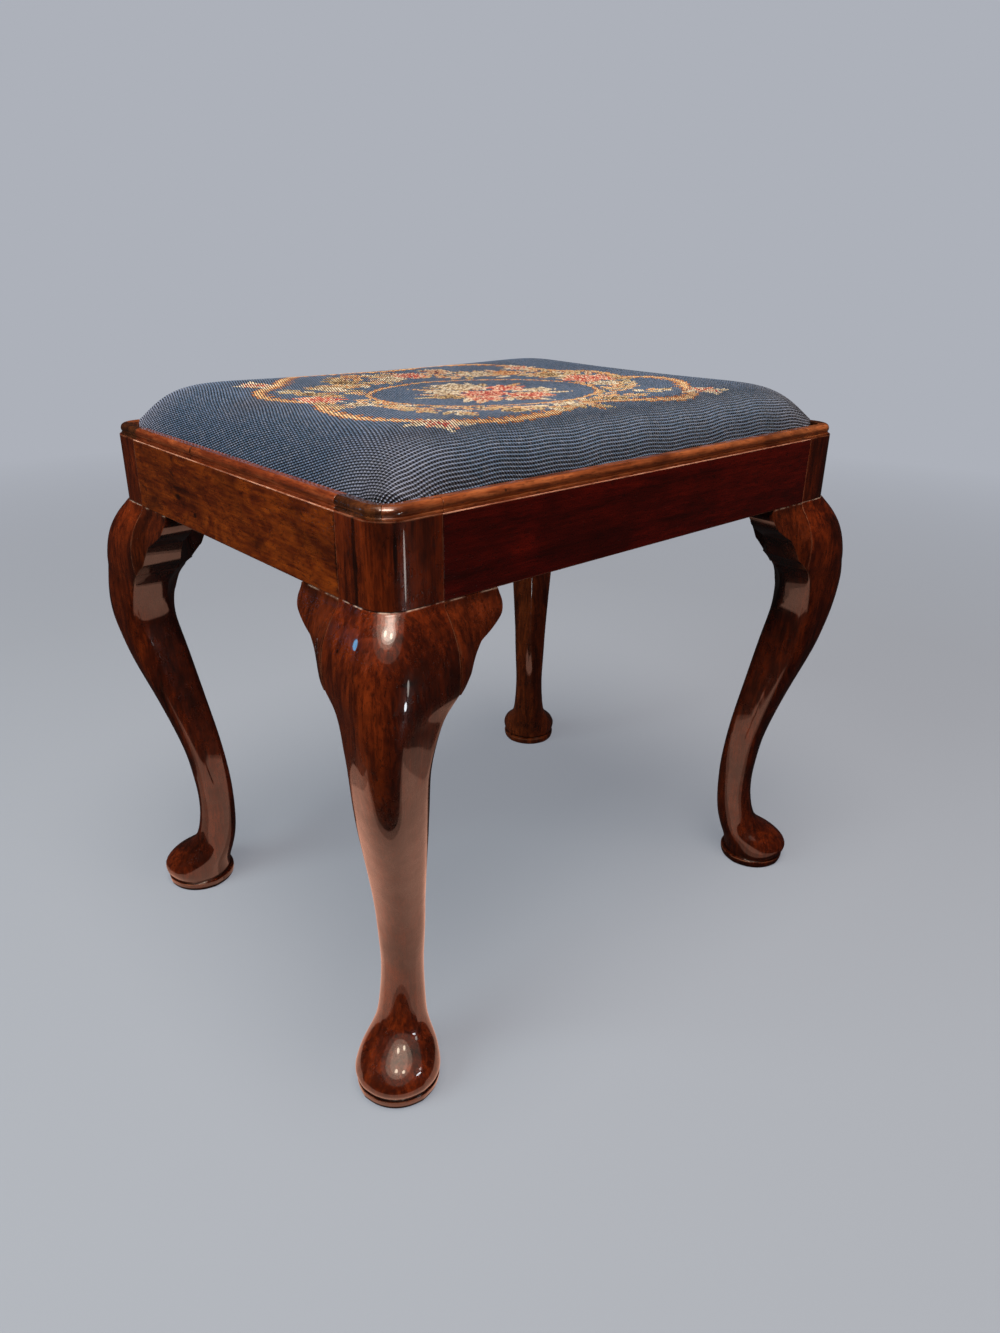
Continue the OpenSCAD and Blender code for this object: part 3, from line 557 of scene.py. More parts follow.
def lay_canvas(a, b):
    """Where the points a, b of the flat canvas lie over the seat, and which of them the cover needs.

    Each point beyond the flat of the seat is followed outwards, down the side and in underneath."""
    core_x, core_y = seat_x - CORNER_R, seat_y - CORNER_R
    near_x, near_y = np.clip(a, -core_x, core_x), np.clip(b, -core_y, core_y)
    out_x, out_y = a - near_x, b - near_y
    excess = np.hypot(out_x, out_y)
    way_x, way_y = out_x / np.maximum(excess, 1e-9), out_y / np.maximum(excess, 1e-9)
    side_reach = [1] * len(SIDE_SHARES)
    turn_reach = 1 - np.arange(1, TURN_STEPS + 1) / TURN_STEPS * TURN_W / CORNER_R
    reach = np.concatenate([
        np.linspace(0, 1, CROWN_STEPS), side_reach, [1 - FOLD_EASE / CORNER_R], turn_reach]) * CORNER_R
    x = near_x[:, None] + way_x[:, None] * reach
    y = near_y[:, None] + way_y[:, None] * reach
    z = crown(x, y)
    edge = z[:, CROWN_STEPS - 1].copy()
    for column, share in enumerate(SIDE_SHARES, CROWN_STEPS):
        z[:, column] = edge + (seat_foot + FOLD_EASE - edge) * share
    z[:, CROWN_STEPS + len(SIDE_SHARES):] = seat_foot
    step = np.sqrt(np.diff(x) ** 2 + np.diff(y) ** 2 + np.diff(z) ** 2)
    along = np.concatenate([np.zeros((len(a), 1)), np.cumsum(step, 1)], 1)
    held = np.minimum(excess, along[:, -1] - 1e-7)
    before = np.clip((along <= held[:, None]).sum(1) - 1, 0, along.shape[1] - 2)
    rows = np.arange(len(a))
    after = before + 1
    part = (held - along[rows, before]) / np.maximum(along[rows, after] - along[rows, before], 1e-9)
    points = [grid[rows, before] + (grid[rows, after] - grid[rows, before]) * part for grid in (x, y, z)]
    return np.stack(points, 1), excess < along[:, -1]


def stitched_canvas():
    """The canvas, whose UV counts its columns and rows, which waver a little as in hand work.

    Also gives the column and row of each stitch, and the number of the stitch of each face."""
    half_columns = math.ceil((seat_x - CORNER_R + CANVAS_SPARE) / STITCH)
    half_rows = math.ceil((seat_y - CORNER_R + CANVAS_SPARE) / ROW)
    columns = np.arange(-half_columns, half_columns + 1)
    rows = np.arange(-2 * half_rows, 2 * half_rows + 1) / 2
    column, row = (grid.ravel().astype(float) for grid in np.meshgrid(columns, rows))
    a, b = column * STITCH, row * ROW
    waver_a = 0.0005 * np.sin(31 * b + 3 * np.sin(17 * a)) + 0.0003 * np.sin(83 * a + 51 * b)
    waver_b = 0.0011 * np.sin(44 * a + 2.2 * np.sin(23 * b)) + 0.0006 * np.sin(127 * a - 37 * b)
    places, kept = lay_canvas(a + waver_a, b + waver_b)
    wide = len(columns)
    first = (np.arange(len(rows) - 1)[:, None] * wide + np.arange(wide - 1)[None, :]).ravel()
    faces = np.stack([first, first + 1, first + 1 + wide, first + wide], 1)
    faces = faces[kept[faces].all(1)]
    used, renumbered = np.unique(faces, return_inverse=True)
    mesh = bpy.data.meshes.new("needlepoint_cover_cloth")
    mesh.from_pydata(places[used].tolist(), [], renumbered.reshape(-1, 4).tolist())
    normals = np.zeros(len(used) * 3)
    mesh.vertices.foreach_get("normal", normals)
    raised = np.where(row[used] % 1 > 0, RELIEF, -RELIEF)[:, None] * normals.reshape(-1, 3)
    mesh.vertices.foreach_set("co", (places[used] + raised).ravel())
    uv = mesh.uv_layers.new(name="stitches")
    corners = np.stack([column[faces].ravel(), row[faces].ravel()], 1)
    uv.data.foreach_set("uv", corners.ravel())
    stitch_at = np.stack([column[faces].mean(1), np.floor(row[faces].mean(1)) + 0.5], 1)
    return mesh, *np.unique(stitch_at, axis=0, return_inverse=True)


canvas, stitch_places, stitch_of_face = stitched_canvas()
cloth = bpy.data.objects.new("needlepoint_cover_cloth", canvas)
bpy.context.scene.collection.objects.link(cloth)

# The needlework's wools, and its pattern: a gold scrolled cartouche, in it a wreath of sprigs and
# roses, a plain oval with a bunch of roses in its middle, and a spray at each corner. The pattern is
# laid out in millimetres from the middle of the seat.
NAVY = [dye(86, 102, 124), dye(94, 108, 131), dye(78, 96, 117), dye(104, 113, 130)]
GOLD = [dye(150, 84, 48), dye(204, 132, 76), dye(226, 160, 100), dye(238, 192, 138)]
TAN = [dye(104, 76, 50), dye(158, 120, 76), dye(198, 160, 108), dye(222, 192, 144)]
RUSSET = [dye(120, 52, 40), dye(184, 110, 72), dye(214, 160, 116), dye(232, 196, 158)]
PINK = [dye(180, 58, 46), dye(214, 98, 74), dye(236, 152, 118), dye(246, 208, 174)]
CREAM = [dye(150, 120, 88), dye(204, 174, 136), dye(232, 206, 168), dye(246, 228, 196)]

place_x = stitch_places[:, 0] * STITCH * 1000
place_y = stitch_places[:, 1] * ROW * 1000
chance = np.random.default_rng(7)
ground = np.array(NAVY)[chance.integers(0, len(NAVY), len(place_x)), :3]
wool = ground.copy()


def lay_wool(where, tones, depth):
    """Works the stitches in a mask, each in the tone that depth, 0 to 1, gives it."""
    mixed = np.clip(depth + 0.34 * (chance.random(len(depth)) - 0.5), 0, 0.999)
    wool[where] = np.array(tones)[(mixed * len(tones)).astype(int), :3][where]


def leaf(x, y, turn, length, width, tones):
    """A pointed leaf that starts at x, y, dark along its middle and round its edge."""
    along = (place_x - x) * math.cos(turn) + (place_y - y) * math.sin(turn)
    across = (place_y - y) * math.cos(turn) - (place_x - x) * math.sin(turn)
    share = np.clip(along / length, 0, 1)
    half = width / 2 * np.sin(np.pi * share ** 0.8) ** 0.8
    inside = (along > 0) & (along < length) & (np.abs(across) < half)
    to_edge = np.clip(np.abs(across) / np.maximum(half, 0.1), 0, 1)
    lay_wool(inside, tones, 0.2 + 0.8 * np.sin(np.pi * to_edge))


def rose(x, y, size, tones, turn=0.0):
    """A full rose of ruffled rings of petals."""
    away = np.hypot(place_x - x, (place_y - y) * 1.1)
    round_it = np.arctan2(place_y - y, place_x - x) + turn
    rim = size * (1 + 0.16 * np.cos(5 * round_it) + 0.08 * np.cos(9 * round_it + 1))
    rings = away / rim * 3.2 + 0.3 * np.sin(3 * round_it + 2.4 * np.floor(away / rim * 3.2))
    lay_wool(away < rim, tones, 0.9 * (rings % 1) + 0.3 * away / rim - 0.1)


SPRIG_LEAVES = (
    (1.05, 0.0, 0.62), (-1.0, 0.1, 0.66), (0.7, 0.35, 0.6), (-0.65, 0.45, 0.58), (0.0, 0.5, 0.7))


def sprig(x, y, turn, size, tones):
    """Five leaves on a short stem, each in one of the given wools."""
    for k, (swing, start, reach) in enumerate(SPRIG_LEAVES):
        leaf(x + start * size * math.cos(turn), y + start * size * math.sin(turn), turn + swing,
             size * reach, size * 0.3, tones[k % len(tones)])


CURVE_STEPS = 14
TAPER_OVER = 14
TOOTH_EVERY = 11


def band(points, width, tones, teeth=0.0, side=1):
    """A ragged scroll along a smooth line through the points, with leafy teeth on one side."""
    line = np.array(points, float)
    ends = np.vstack([2 * line[0] - line[1], line, 2 * line[-1] - line[-2]])
    fine = []
    for k in range(1, len(ends) - 2):
        p0, p1, p2, p3 = ends[k - 1:k + 3]
        for t in np.linspace(0, 1, CURVE_STEPS, endpoint=False):
            fine.append(0.5 * (2 * p1 + (p2 - p0) * t + (2 * p0 - 5 * p1 + 4 * p2 - p3) * t ** 2
                               + (3 * p1 - p0 - 3 * p2 + p3) * t ** 3))
    fine = np.array(fine + [line[-1]])
    length = np.concatenate([[0], np.cumsum(np.hypot(*np.diff(fine, axis=0).T))])
    best = np.full(len(place_x), 1e9)
    run = np.zeros(len(place_x))
    lean = np.zeros(len(place_x))
    for k in range(len(fine) - 1):
        step = fine[k + 1] - fine[k]
        share = np.clip(((place_x - fine[k][0]) * step[0] + (place_y - fine[k][1]) * step[1])
                        / (step @ step), 0, 1)
        dx = place_x - fine[k][0] - share * step[0]
        dy = place_y - fine[k][1] - share * step[1]
        away = np.hypot(dx, dy)
        closer = away < best
        best[closer] = away[closer]
        run[closer] = (length[k] + share * np.hypot(*step))[closer]
        lean[closer] = (step[0] * dy - step[1] * dx)[closer]
    taper = np.clip(np.minimum(run, length[-1] - run) / TAPER_OVER, 0.35, 1)
    tooth = teeth * (1 - (run / TOOTH_EVERY) % 1) * (np.sign(lean) == side)
    half = width / 2 * taper + tooth + 1.1 * np.sin(run / 2.3) + 0.9 * (chance.random(len(run)) - 0.5)
    lay_wool(best < half, tones, 1.1 - best / np.maximum(half, 0.5))


SPRAY_LEAVES = 11


def spray(x, y, wide, deep):
    """A corner spray: pale and pink leaves all round a small flower."""
    for k in range(SPRAY_LEAVES):
        turn = 2 * math.pi * k / SPRAY_LEAVES
        length = math.hypot(wide / 2 * math.cos(turn), deep / 2 * math.sin(turn))
        length = length * (0.85 + 0.3 * (k % 3 == 0))
        leaf(x, y, turn - 0.45, length, 8, (CREAM, PINK, RUSSET)[k % 3])
    rose(x, y, deep * 0.2, PINK)


left_scroll = [
    (-109, 142), (-128, 124), (-146, 100), (-161, 84), (-180, 70), (-190, 52), (-192, 30), (-186, 8),
    (-176, -10), (-184, -32), (-191, -56), (-192, -94), (-180, -122), (-160, -138)]
near_scroll = [
    (-160, -138), (-136, -149), (-114, -153), (-77, -151), (-39, -141), (-4, -128), (24, -138),
    (53, -148), (80, -153), (102, -148), (120, -132)]
right_scroll = [
    (112, 124), (124, 100), (134, 70), (140, 48), (154, 32), (161, 14), (158, -6), (148, -24),
    (160, -36), (170, -52), (166, -76), (152, -98), (134, -116), (120, -132)]
far_scroll = [
    (-109, 142), (-87, 149), (-62, 150), (-35, 149), (-10, 141), (14, 142), (45, 150), (82, 144),
    (112, 124)]
for points, side in ((left_scroll, 1), (near_scroll, 1), (right_scroll, -1), (far_scroll, -1)):
    band(points, 7.5, GOLD, 8.0, side)

WREATH_AT = (-12, -8)
WREATH_HALF = (140, 113)
SPRIGS = 54
SPRIG_WOOLS = ((GOLD, TAN, RUSSET), (TAN, RUSSET, GOLD), (CREAM, TAN, GOLD), (GOLD, RUSSET, TAN))
for k in range(SPRIGS):
    around = 2 * math.pi * k / SPRIGS
    out = (0.9, 1.09, 1.0)[k % 3] + 0.04 * math.sin(5 * around)
    x = WREATH_AT[0] + WREATH_HALF[0] * out * math.cos(around)
    y = WREATH_AT[1] + WREATH_HALF[1] * out * math.sin(around)
    heading = around + math.pi / 2 + 0.8 * math.sin(3.1 * k)
    sprig(x, y, heading, 30, SPRIG_WOOLS[k % 4])

OVAL_AT = (-12, -18)
OVAL_HALF = (106, 84)
turns = np.linspace(0, 2 * math.pi, 33)
oval = [(OVAL_AT[0] + OVAL_HALF[0] * math.cos(t), OVAL_AT[1] + OVAL_HALF[1] * math.sin(t)) for t in turns]
in_oval = ((place_x - OVAL_AT[0]) / OVAL_HALF[0]) ** 2 + ((place_y - OVAL_AT[1]) / OVAL_HALF[1]) ** 2 < 1
wool[in_oval] = ground[in_oval]
band(oval, 5, GOLD)

WREATH_ROSES = (
    (-160, 8, 19, PINK, 0.2), (-148, -30, 12, CREAM, 1.0), (-150, 40, 12, TAN, 0.4),
    (124, -6, 24, PINK, 1.1), (112, -40, 14, CREAM, 0.1), (116, 34, 14, TAN, 0.7),
    (-2, 104, 16, PINK, 0.5), (-30, 96, 14, CREAM, 0.3), (-84, 98, 15, TAN, 0.0),
    (62, 84, 15, CREAM, 0.8), (36, 112, 13, RUSSET, 0.2), (-116, 62, 14, CREAM, 0.9),
    (-56, 122, 12, GOLD, 0.5), (92, 72, 14, GOLD, 0.1), (-20, -122, 13, CREAM, 0.6),
    (-76, -126, 11, TAN, 0.9), (34, -124, 12, TAN, 0.2))
for x, y, size, tones, turn in WREATH_ROSES:
    rose(x, y, size, tones, turn)

BUNCH_AT = (-12, -20)
BUNCH_LEAVES = 19
BUNCH_ROSES = (
    (-6, 32, 20, CREAM, 0.2), (-36, 10, 16, CREAM, 1.3), (-52, -20, 15, TAN, 0.3),
    (-12, -18, 23, PINK, 0.8), (26, 0, 18, PINK, 0.1), (-34, -44, 16, PINK, 0.5),
    (12, -48, 19, PINK, 0.9), (-8, -66, 13, RUSSET, 0.4), (42, -28, 13, CREAM, 0.6))
TOP_LEAVES = (
    (-30, -30, 2.6, 22, GOLD), (4, -30, -0.4, 26, RUSSET), (16, 18, 0.9, 22, TAN),
    (-24, 26, 2.0, 20, TAN), (30, -44, -0.7, 24, CREAM), (-44, -4, 2.9, 22, RUSSET),
    (36, 8, 0.3, 24, GOLD), (-18, -54, 4.0, 22, CREAM))
for k in range(BUNCH_LEAVES):
    around = 2 * math.pi * k / BUNCH_LEAVES + 0.3
    leaf(BUNCH_AT[0] + 26 * math.cos(around), BUNCH_AT[1] + 24 * math.sin(around),
         around + 0.3 * math.sin(4 * k), 32 + 9 * (k % 3), 11, (TAN, GOLD, CREAM, RUSSET)[k % 4])
for x, y, size, tones, turn in BUNCH_ROSES:
    rose(x, y, size, tones, turn)
for x, y, turn, length, tones in TOP_LEAVES:
    leaf(x, y, turn, length, 8, tones)

CORNER_SPRAYS = ((-165, 102, 36, 44), (-163, -142, 52, 28), (127, -140, 50, 28), (122, 88, 40, 36))
for x, y, wide, deep in CORNER_SPRAYS:
    spray(x, y, wide, deep)

LINT_SHARE = 0.0008
specks = chance.random(len(place_x)) > 1 - LINT_SHARE
wool[specks] = dye(112, 122, 136)[:3]
wool *= (0.9 + 0.2 * chance.random(len(place_x)))[:, None]
stitch_wool = canvas.color_attributes.new("wool", "FLOAT_COLOR", "CORNER")
face_wool = wool[stitch_of_face.ravel()]
per_corner = np.concatenate([np.repeat(face_wool, 4, 0), np.ones((len(face_wool) * 4, 1))], 1)
stitch_wool.data.foreach_set("color", per_corner.ravel().astype(np.float32))

RIDGE_SHARP = 46
STAIN_AT = (-0.2, 0.027, 0.49)
apply(cloth, "SOLIDIFY", thickness=COVER_T, offset=-1.0, use_even_offset=False)
smooth(cloth, RIDGE_SHARP)

needlework = Finish("needlework", Sheen_Weight=0.12, Sheen_Roughness=0.5, Specular_IOR_Level=0.1)
place = needlework.node("TexCoord", output=3)
stitches = needlework.node("UVMap", {"uv_map": "stitches"})
across = needlework.part(stitches, "x")
up = needlework.part(stitches, "y")
across_row = needlework.node("Math", {"operation": "PINGPONG"}, {0: up, 1: 0.5})
along_row = needlework.node("Math", {"operation": "PINGPONG"}, {0: across + up * 0.5, 1: 0.5})
# The dark gaps between rows and between stitches are painted shade, strongest on the steep sides.
row_gap_shade = needlework.between(across_row, 0.08, 0.26, 1.0, 0.0)
stitch_gap_shade = needlework.between(along_row, 0.14, 0.46, 1.0, 0.0)
facing = needlework.node("NewGeometry", output=1)
upright = needlework.part(facing, "z")
slope = needlework.between(upright, 0.84, 0.99, 1.0, 0.16)
wool_colour = needlework.node("Attribute", {"attribute_name": "wool"})
fuzz = needlework.noise(place, (900, 900, 900), 3, 0.6)
fade = needlework.noise(place, (8, 8, 8), 3, 0.5, 0.3)
from_left = abs(needlework.part(place, "x")) - seat_x
from_front = abs(needlework.part(place, "y")) - seat_y
to_corner = (from_left ** 2 + from_front ** 2) ** 0.5
# The cover turns paler towards each of its corners.
paler_at_corners = needlework.between(to_corner, 0.015, 0.08, 1.0, 0.0)
colour = needlework.tint(wool_colour, dye(104, 104, 114), needlework.between(fade, 0.5, 0.8) * 0.2)
colour = needlework.tint(colour, dye(144, 139, 150), paler_at_corners * 0.55)
offset = needlework.node("VectorMath", {"operation": "DISTANCE"}, {0: place, 1: STAIN_AT}, 1)
stain = needlework.between(offset + fade * 0.03, 0.02, 0.05, 0.35, 0.0)
colour = needlework.tint(colour, dye(96, 74, 60), stain)
# Painted shade in the gaps between rows and stitches.
colour = needlework.tint(colour, dye(7, 8, 13), row_gap_shade * slope * 0.8)
colour = needlework.tint(colour, dye(10, 12, 18), stitch_gap_shade * slope * 0.95)
colour = needlework.tint(colour, dye(170, 170, 174), needlework.between(fuzz, 0.62, 0.8) * 0.1)
height = needlework.between(across_row, 0.0, 0.4) * 0.0005
height = height + needlework.between(along_row, 0.0, 0.35) * 0.0008 + fuzz * 0.00025
normal = needlework.node("Bump", {}, {"Strength": 0.9, "Distance": 1.0, "Height": height})
needlework.feed(Base_Color=colour, Roughness=0.8 + fuzz * 0.15, Normal=normal)
cloth.data.materials.append(needlework.material)
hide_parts("needlepoint_cover")
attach(cloth, "drop_in_seat")


# The stuffing: curled horsehair, teased out and packed on the hessian, and sunk in the middle by
# years of sitting. Nothing but the cover and the hessian holds it.
STUFFING_IN = 0.021
STUFFING_UNDER = 0.0029
STUFFING_UP = 0.0001
HAIR_LUMP = 0.0005
HAIR_SMOOTH = 60
HESSIAN_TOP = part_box("hessian")[1].z

bpy.ops.object.select_all(action="DESELECT")
bpy.ops.mesh.primitive_grid_add(x_subdivisions=64, y_subdivisions=52, size=2)
hair = bpy.context.object
hair.name = "hair_stuffing_pad"
for vertex in hair.data.vertices:
    u, v = vertex.co.x, vertex.co.y
    round_off = (abs(u) * abs(v)) ** 3 * 0.035
    x = u * (seat_x - STUFFING_IN) * (1 - round_off)
    y = v * (seat_y - STUFFING_IN) * (1 - round_off)
    lump = HAIR_LUMP * math.sin(90 * x + 2 * math.sin(60 * y)) * math.sin(80 * y)
    vertex.co = (x, y, float(crown(np.array(x), np.array(y))) - STUFFING_UNDER + lump)
pick(hair)
bpy.ops.object.mode_set(mode="EDIT")
bpy.ops.mesh.select_all(action="SELECT")
bpy.ops.mesh.extrude_region_move(TRANSFORM_OT_translate={"value": (0, 0, -0.05)})
bpy.ops.object.mode_set(mode="OBJECT")
for vertex in hair.data.vertices:
    if vertex.select:
        vertex.co.z = HESSIAN_TOP + STUFFING_UP
pick(hair)
bpy.ops.object.mode_set(mode="EDIT")
bpy.ops.mesh.select_all(action="SELECT")
bpy.ops.mesh.normals_make_consistent(inside=False)
bpy.ops.object.mode_set(mode="OBJECT")
smooth(hair, HAIR_SMOOTH)

curled_hair = Finish("curled_horsehair", Sheen_Weight=0.2)
place = curled_hair.node("TexCoord", output=3)
curls = curled_hair.noise(place, (420, 420, 420), 5, 0.7, 3.0)
tangle = curled_hair.noise(place, (1300, 1300, 1300), 3, 0.6, 4.0)
stops = [(0.0, dye(22, 16, 12)), (0.45, dye(38, 29, 22)), (0.7, dye(74, 58, 44)), (1.0, dye(110, 92, 74))]
colour = curled_hair.node("ValToRGB", {"stops": stops}, {"Fac": curls * 0.6 + tangle * 0.4})
height = curls * 0.002 + tangle * 0.0008
normal = curled_hair.node("Bump", {}, {"Strength": 1.0, "Distance": 1.0, "Height": height})
curled_hair.feed(Base_Color=colour, Roughness=0.55 + tangle * 0.3, Normal=normal)
hair.data.materials.append(curled_hair.material)
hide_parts("hair_stuffing")
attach(hair, "drop_in_seat")


# The hessian: one piece of coarse plain-weave sacking. It is stretched over the webbing and tacked
# to the seat's bars all round, to carry the hair.
hessian_low, hessian_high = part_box("hessian")
HESSIAN_YARN = 0.0017
CLOTH_SMOOTH = 50

bpy.ops.object.select_all(action="DESELECT")
bpy.ops.mesh.primitive_grid_add(x_subdivisions=90, y_subdivisions=72, size=2)
sacking = bpy.context.object
sacking.name = "hessian_sheet"
for vertex in sacking.data.vertices:
    u, v = vertex.co.x, vertex.co.y
    inwards = 1 - (abs(u) * abs(v)) ** 12 * 0.02
    vertex.co = (u * hessian_high.x * inwards, v * hessian_high.y * inwards, hessian_high.z)
apply(sacking, "SOLIDIFY", thickness=hessian_high.z - hessian_low.z, offset=-1.0)
smooth(sacking, CLOTH_SMOOTH)

plain_weave = Finish("sacking_weave", Sheen_Weight=0.1, Specular_IOR_Level=0.3)
place = plain_weave.node("TexCoord", output=3)
wobble = plain_weave.noise(place, (60, 60, 60), 3, 0.5)
x = plain_weave.part(place, "x") + wobble * 0.0012
y = plain_weave.part(place, "y") + wobble * 0.0009
warp = plain_weave.node("Math", {"operation": "SINE"}, {0: x * (math.pi / HESSIAN_YARN)})
weft = plain_weave.node("Math", {"operation": "SINE"}, {0: y * (math.pi / HESSIAN_YARN)})
yarns = abs(warp) * 0.5 + abs(weft) * 0.5
slub = plain_weave.noise(place, (300, 40, 40), 3, 0.6)
stops = [
    (0.0, dye(58, 42, 26)), (0.35, dye(120, 92, 58)), (0.7, dye(162, 130, 88)), (1.0, dye(184, 154, 110))]
colour = plain_weave.node("ValToRGB", {"stops": stops}, {"Fac": yarns * 0.8 + slub * 0.35 - 0.12})
height = warp * weft * 0.0003 + yarns * 0.0004
normal = plain_weave.node("Bump", {}, {"Strength": 0.9, "Distance": 1.0, "Height": height})
plain_weave.feed(Base_Color=colour, Roughness=0.8 + slub * 0.15, Normal=normal)
sacking.data.materials.append(plain_weave.material)
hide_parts("hessian")
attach(sacking, "drop_in_seat")


# The webbing: strips of herringbone jute two inches wide, three along the seat and four across. Each
# passes over and under the others and is tacked to the bars at both ends.
WEB_W = 0.05
WEB_T = 0.0012
WEB_HOLD = 0.021
WEB_STEP = 0.009
WEB_SLACK = 0.0001
STRAP_COLUMNS = 8
STRAP_STEP = 0.004
HERRING_STRIPES = 5
TWILL_RATE = 1400
WARP_ENDS = 56
web_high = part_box("webbing_lengthwise")[1]
cross_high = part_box("webbing_crosswise")[1]
row_places = [k * (web_high.y - WEB_W / 2) for k in (-1, 0, 1)]
column_places = [k * (cross_high.x - WEB_W / 2) / 1.5 for k in (-1.5, -0.5, 0.5, 1.5)]


def strap_line(end, crossings, flip):
    """Side view of a strap: distance along and height of its underside."""
    line = [(-end, 0.0), (-end + WEB_HOLD, 0.0)]
    for k, crossing in enumerate(crossings):
        level = (1 if (k + flip) % 2 == 0 else -1) * (WEB_T + WEB_SLACK) / 2
        line += [(crossing - WEB_W / 2 - WEB_STEP, level), (crossing + WEB_W / 2 + WEB_STEP, level)]
    line += [(end - WEB_HOLD, 0.0), (end, 0.0)]
    return line


def straps(node, ends, crossings, centres, crosswise):
    """All the straps that run one way, as one piece with a UV along and across each."""
    shape = bmesh.new()
    marks = shape.loops.layers.uv.new("strap")
    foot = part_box(node)[0].z
    for number, centre in enumerate(centres):
        line = strap_line(ends, crossings, number + (1 if crosswise else 0))
        fine = []
        for (a, low), (b, high) in zip(line, line[1:]):
            count = max(1, round((b - a) / STRAP_STEP))
            for k in range(count):
                t = k / count
                eased = t * t * (3 - 2 * t)
                fine.append((a + (b - a) * t, low + (high - low) * eased))
        fine.append(line[-1])
        grid = []
        for along, height in fine:
            ring = []
            for k in range(STRAP_COLUMNS + 1):
                side = (k / STRAP_COLUMNS - 0.5) * WEB_W
                level = height + (WEB_T + WEB_SLACK) / 2 + foot
                spot = (centre + side, along, level) if crosswise else (along, centre - side, level)
                ring.append(shape.verts.new(spot))
            grid.append(ring)
        for r in range(len(grid) - 1):
            for k in range(STRAP_COLUMNS):
                face = shape.faces.new((grid[r][k], grid[r][k + 1], grid[r + 1][k + 1], grid[r + 1][k]))
                for loop, (dr, dk) in zip(face.loops, ((0, 0), (0, 1), (1, 1), (1, 0))):
                    loop[marks].uv = (fine[r + dr][0], (k + dk) / STRAP_COLUMNS)
    mesh = bpy.data.meshes.new(node + "_straps")
    shape.to_mesh(mesh)
    shape.free()
    piece = bpy.data.objects.new(node + "_straps", mesh)
    bpy.context.scene.collection.objects.link(piece)
    return piece


jute = Finish("jute_herringbone", Sheen_Weight=0.1, Specular_IOR_Level=0.3)
strap_uv = jute.node("UVMap", {"uv_map": "strap"})
along = jute.part(strap_uv, "x")
across = jute.part(strap_uv, "y")
place = jute.node("TexCoord", output=3)
herring = jute.node("Math", {"operation": "PINGPONG"}, {0: across * HERRING_STRIPES, 1: 0.5})
twill = jute.node("Math", {"operation": "SINE"}, {0: along * TWILL_RATE + herring * 16})
warp = jute.node("Math", {"operation": "SINE"}, {0: across * (math.pi * WARP_ENDS)})
slub = jute.noise(place, (200, 200, 200), 4, 0.6)
stops = [
    (0.0, dye(88, 64, 38)), (0.4, dye(138, 106, 66)), (0.7, dye(172, 138, 92)), (1.0, dye(190, 158, 112))]
colour = jute.node("ValToRGB", {"stops": stops}, {"Fac": 0.4 + twill * 0.16 + warp * 0.1 + slub * 0.25})
edge = abs(across - 0.5)
stripe = jute.between(edge, 0.36, 0.37) * jute.between(edge, 0.41, 0.4)
colour = jute.tint(colour, dye(96, 34, 28), stripe * 0.8)
height = twill * 0.0002 + warp * 0.00012
normal = jute.node("Bump", {}, {"Strength": 0.9, "Distance": 1.0, "Height": height})
jute.feed(Base_Color=colour, Roughness=0.78 + slub * 0.18, Normal=normal)

for node, reach, crossings, centres, crosswise in (
        ("webbing_lengthwise", web_high.x, column_places, row_places, False),
        ("webbing_crosswise", cross_high.y, row_places, column_places, True)):
    strap = straps(node, reach, crossings, centres, crosswise)
    apply(strap, "SOLIDIFY", thickness=WEB_T, offset=1.0)
    smooth(strap, CLOTH_SMOOTH)
    strap.data.materials.append(jute.material)
    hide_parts(node)
    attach(strap, "drop_in_seat")
    total = 2 * reach * len(centres)


# The cut tacks, of blued steel with a little rust, hammered through the webbing, the hessian and the
# cover into the seat's bars. The solids' own shapes are shown.
tack_steel = Finish("blued_tacks", Metallic=1.0)
place = tack_steel.node("TexCoord", output=3)
rust = tack_steel.noise(place, (260, 260, 260), 4, 0.6)
stops = [(0.0, dye(44, 48, 58)), (0.5, dye(56, 58, 64)), (0.66, dye(96, 60, 40)), (1.0, dye(122, 72, 44))]
colour = tack_steel.node("ValToRGB", {"stops": stops}, {"Fac": rust})
hammered = tack_steel.noise(place, (700, 700, 700), 2, 0.5)
normal = tack_steel.node("Bump", {}, {"Strength": 0.6, "Distance": 1.0, "Height": hammered * 0.0003})
tack_steel.feed(Base_Color=colour, Roughness=0.35 + rust * 0.35, Normal=normal)
for node in ("webbing_tacks", "hessian_tacks", "cover_tacks"):
    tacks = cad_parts[node]
    tacks.data.materials.clear()
    tacks.data.materials.append(tack_steel.material)


# The room: a plain pale floor that curves up into the backdrop all round, soft light from the left
# and above, and the camera at the photograph's place. The polish doesn't mirror the floor. It mirrors
# lamps that light nothing themselves, which stand in for the room and for the floor's gleam.
FLOOR_R = 3.2
COVE_R = 1.6
COVE_STEPS = 12
WALL_H = 1.5
COVE_SMOOTH = 40

bpy.ops.object.select_all(action="DESELECT")
bpy.ops.mesh.primitive_circle_add(vertices=96, radius=FLOOR_R, fill_type="NGON")
floor = bpy.context.object
floor.name = "floor"
bpy.ops.object.mode_set(mode="EDIT")
bpy.ops.mesh.select_all(action="DESELECT")
bpy.ops.mesh.select_mode(type="EDGE")
bpy.ops.mesh.select_all(action="SELECT")
bpy.ops.mesh.region_to_loop()
radius = FLOOR_R
for step in range(1, COVE_STEPS + 1):
    turn = math.pi / 2 * step / COVE_STEPS
    before = math.pi / 2 * (step - 1) / COVE_STEPS
    wider = FLOOR_R + COVE_R * math.sin(turn)
    rise = COVE_R * (math.cos(before) - math.cos(turn))
    bpy.ops.mesh.extrude_edges_move(TRANSFORM_OT_translate={"value": (0, 0, rise)})
    bpy.ops.transform.resize(value=(wider / radius, wider / radius, 1))
    radius = wider
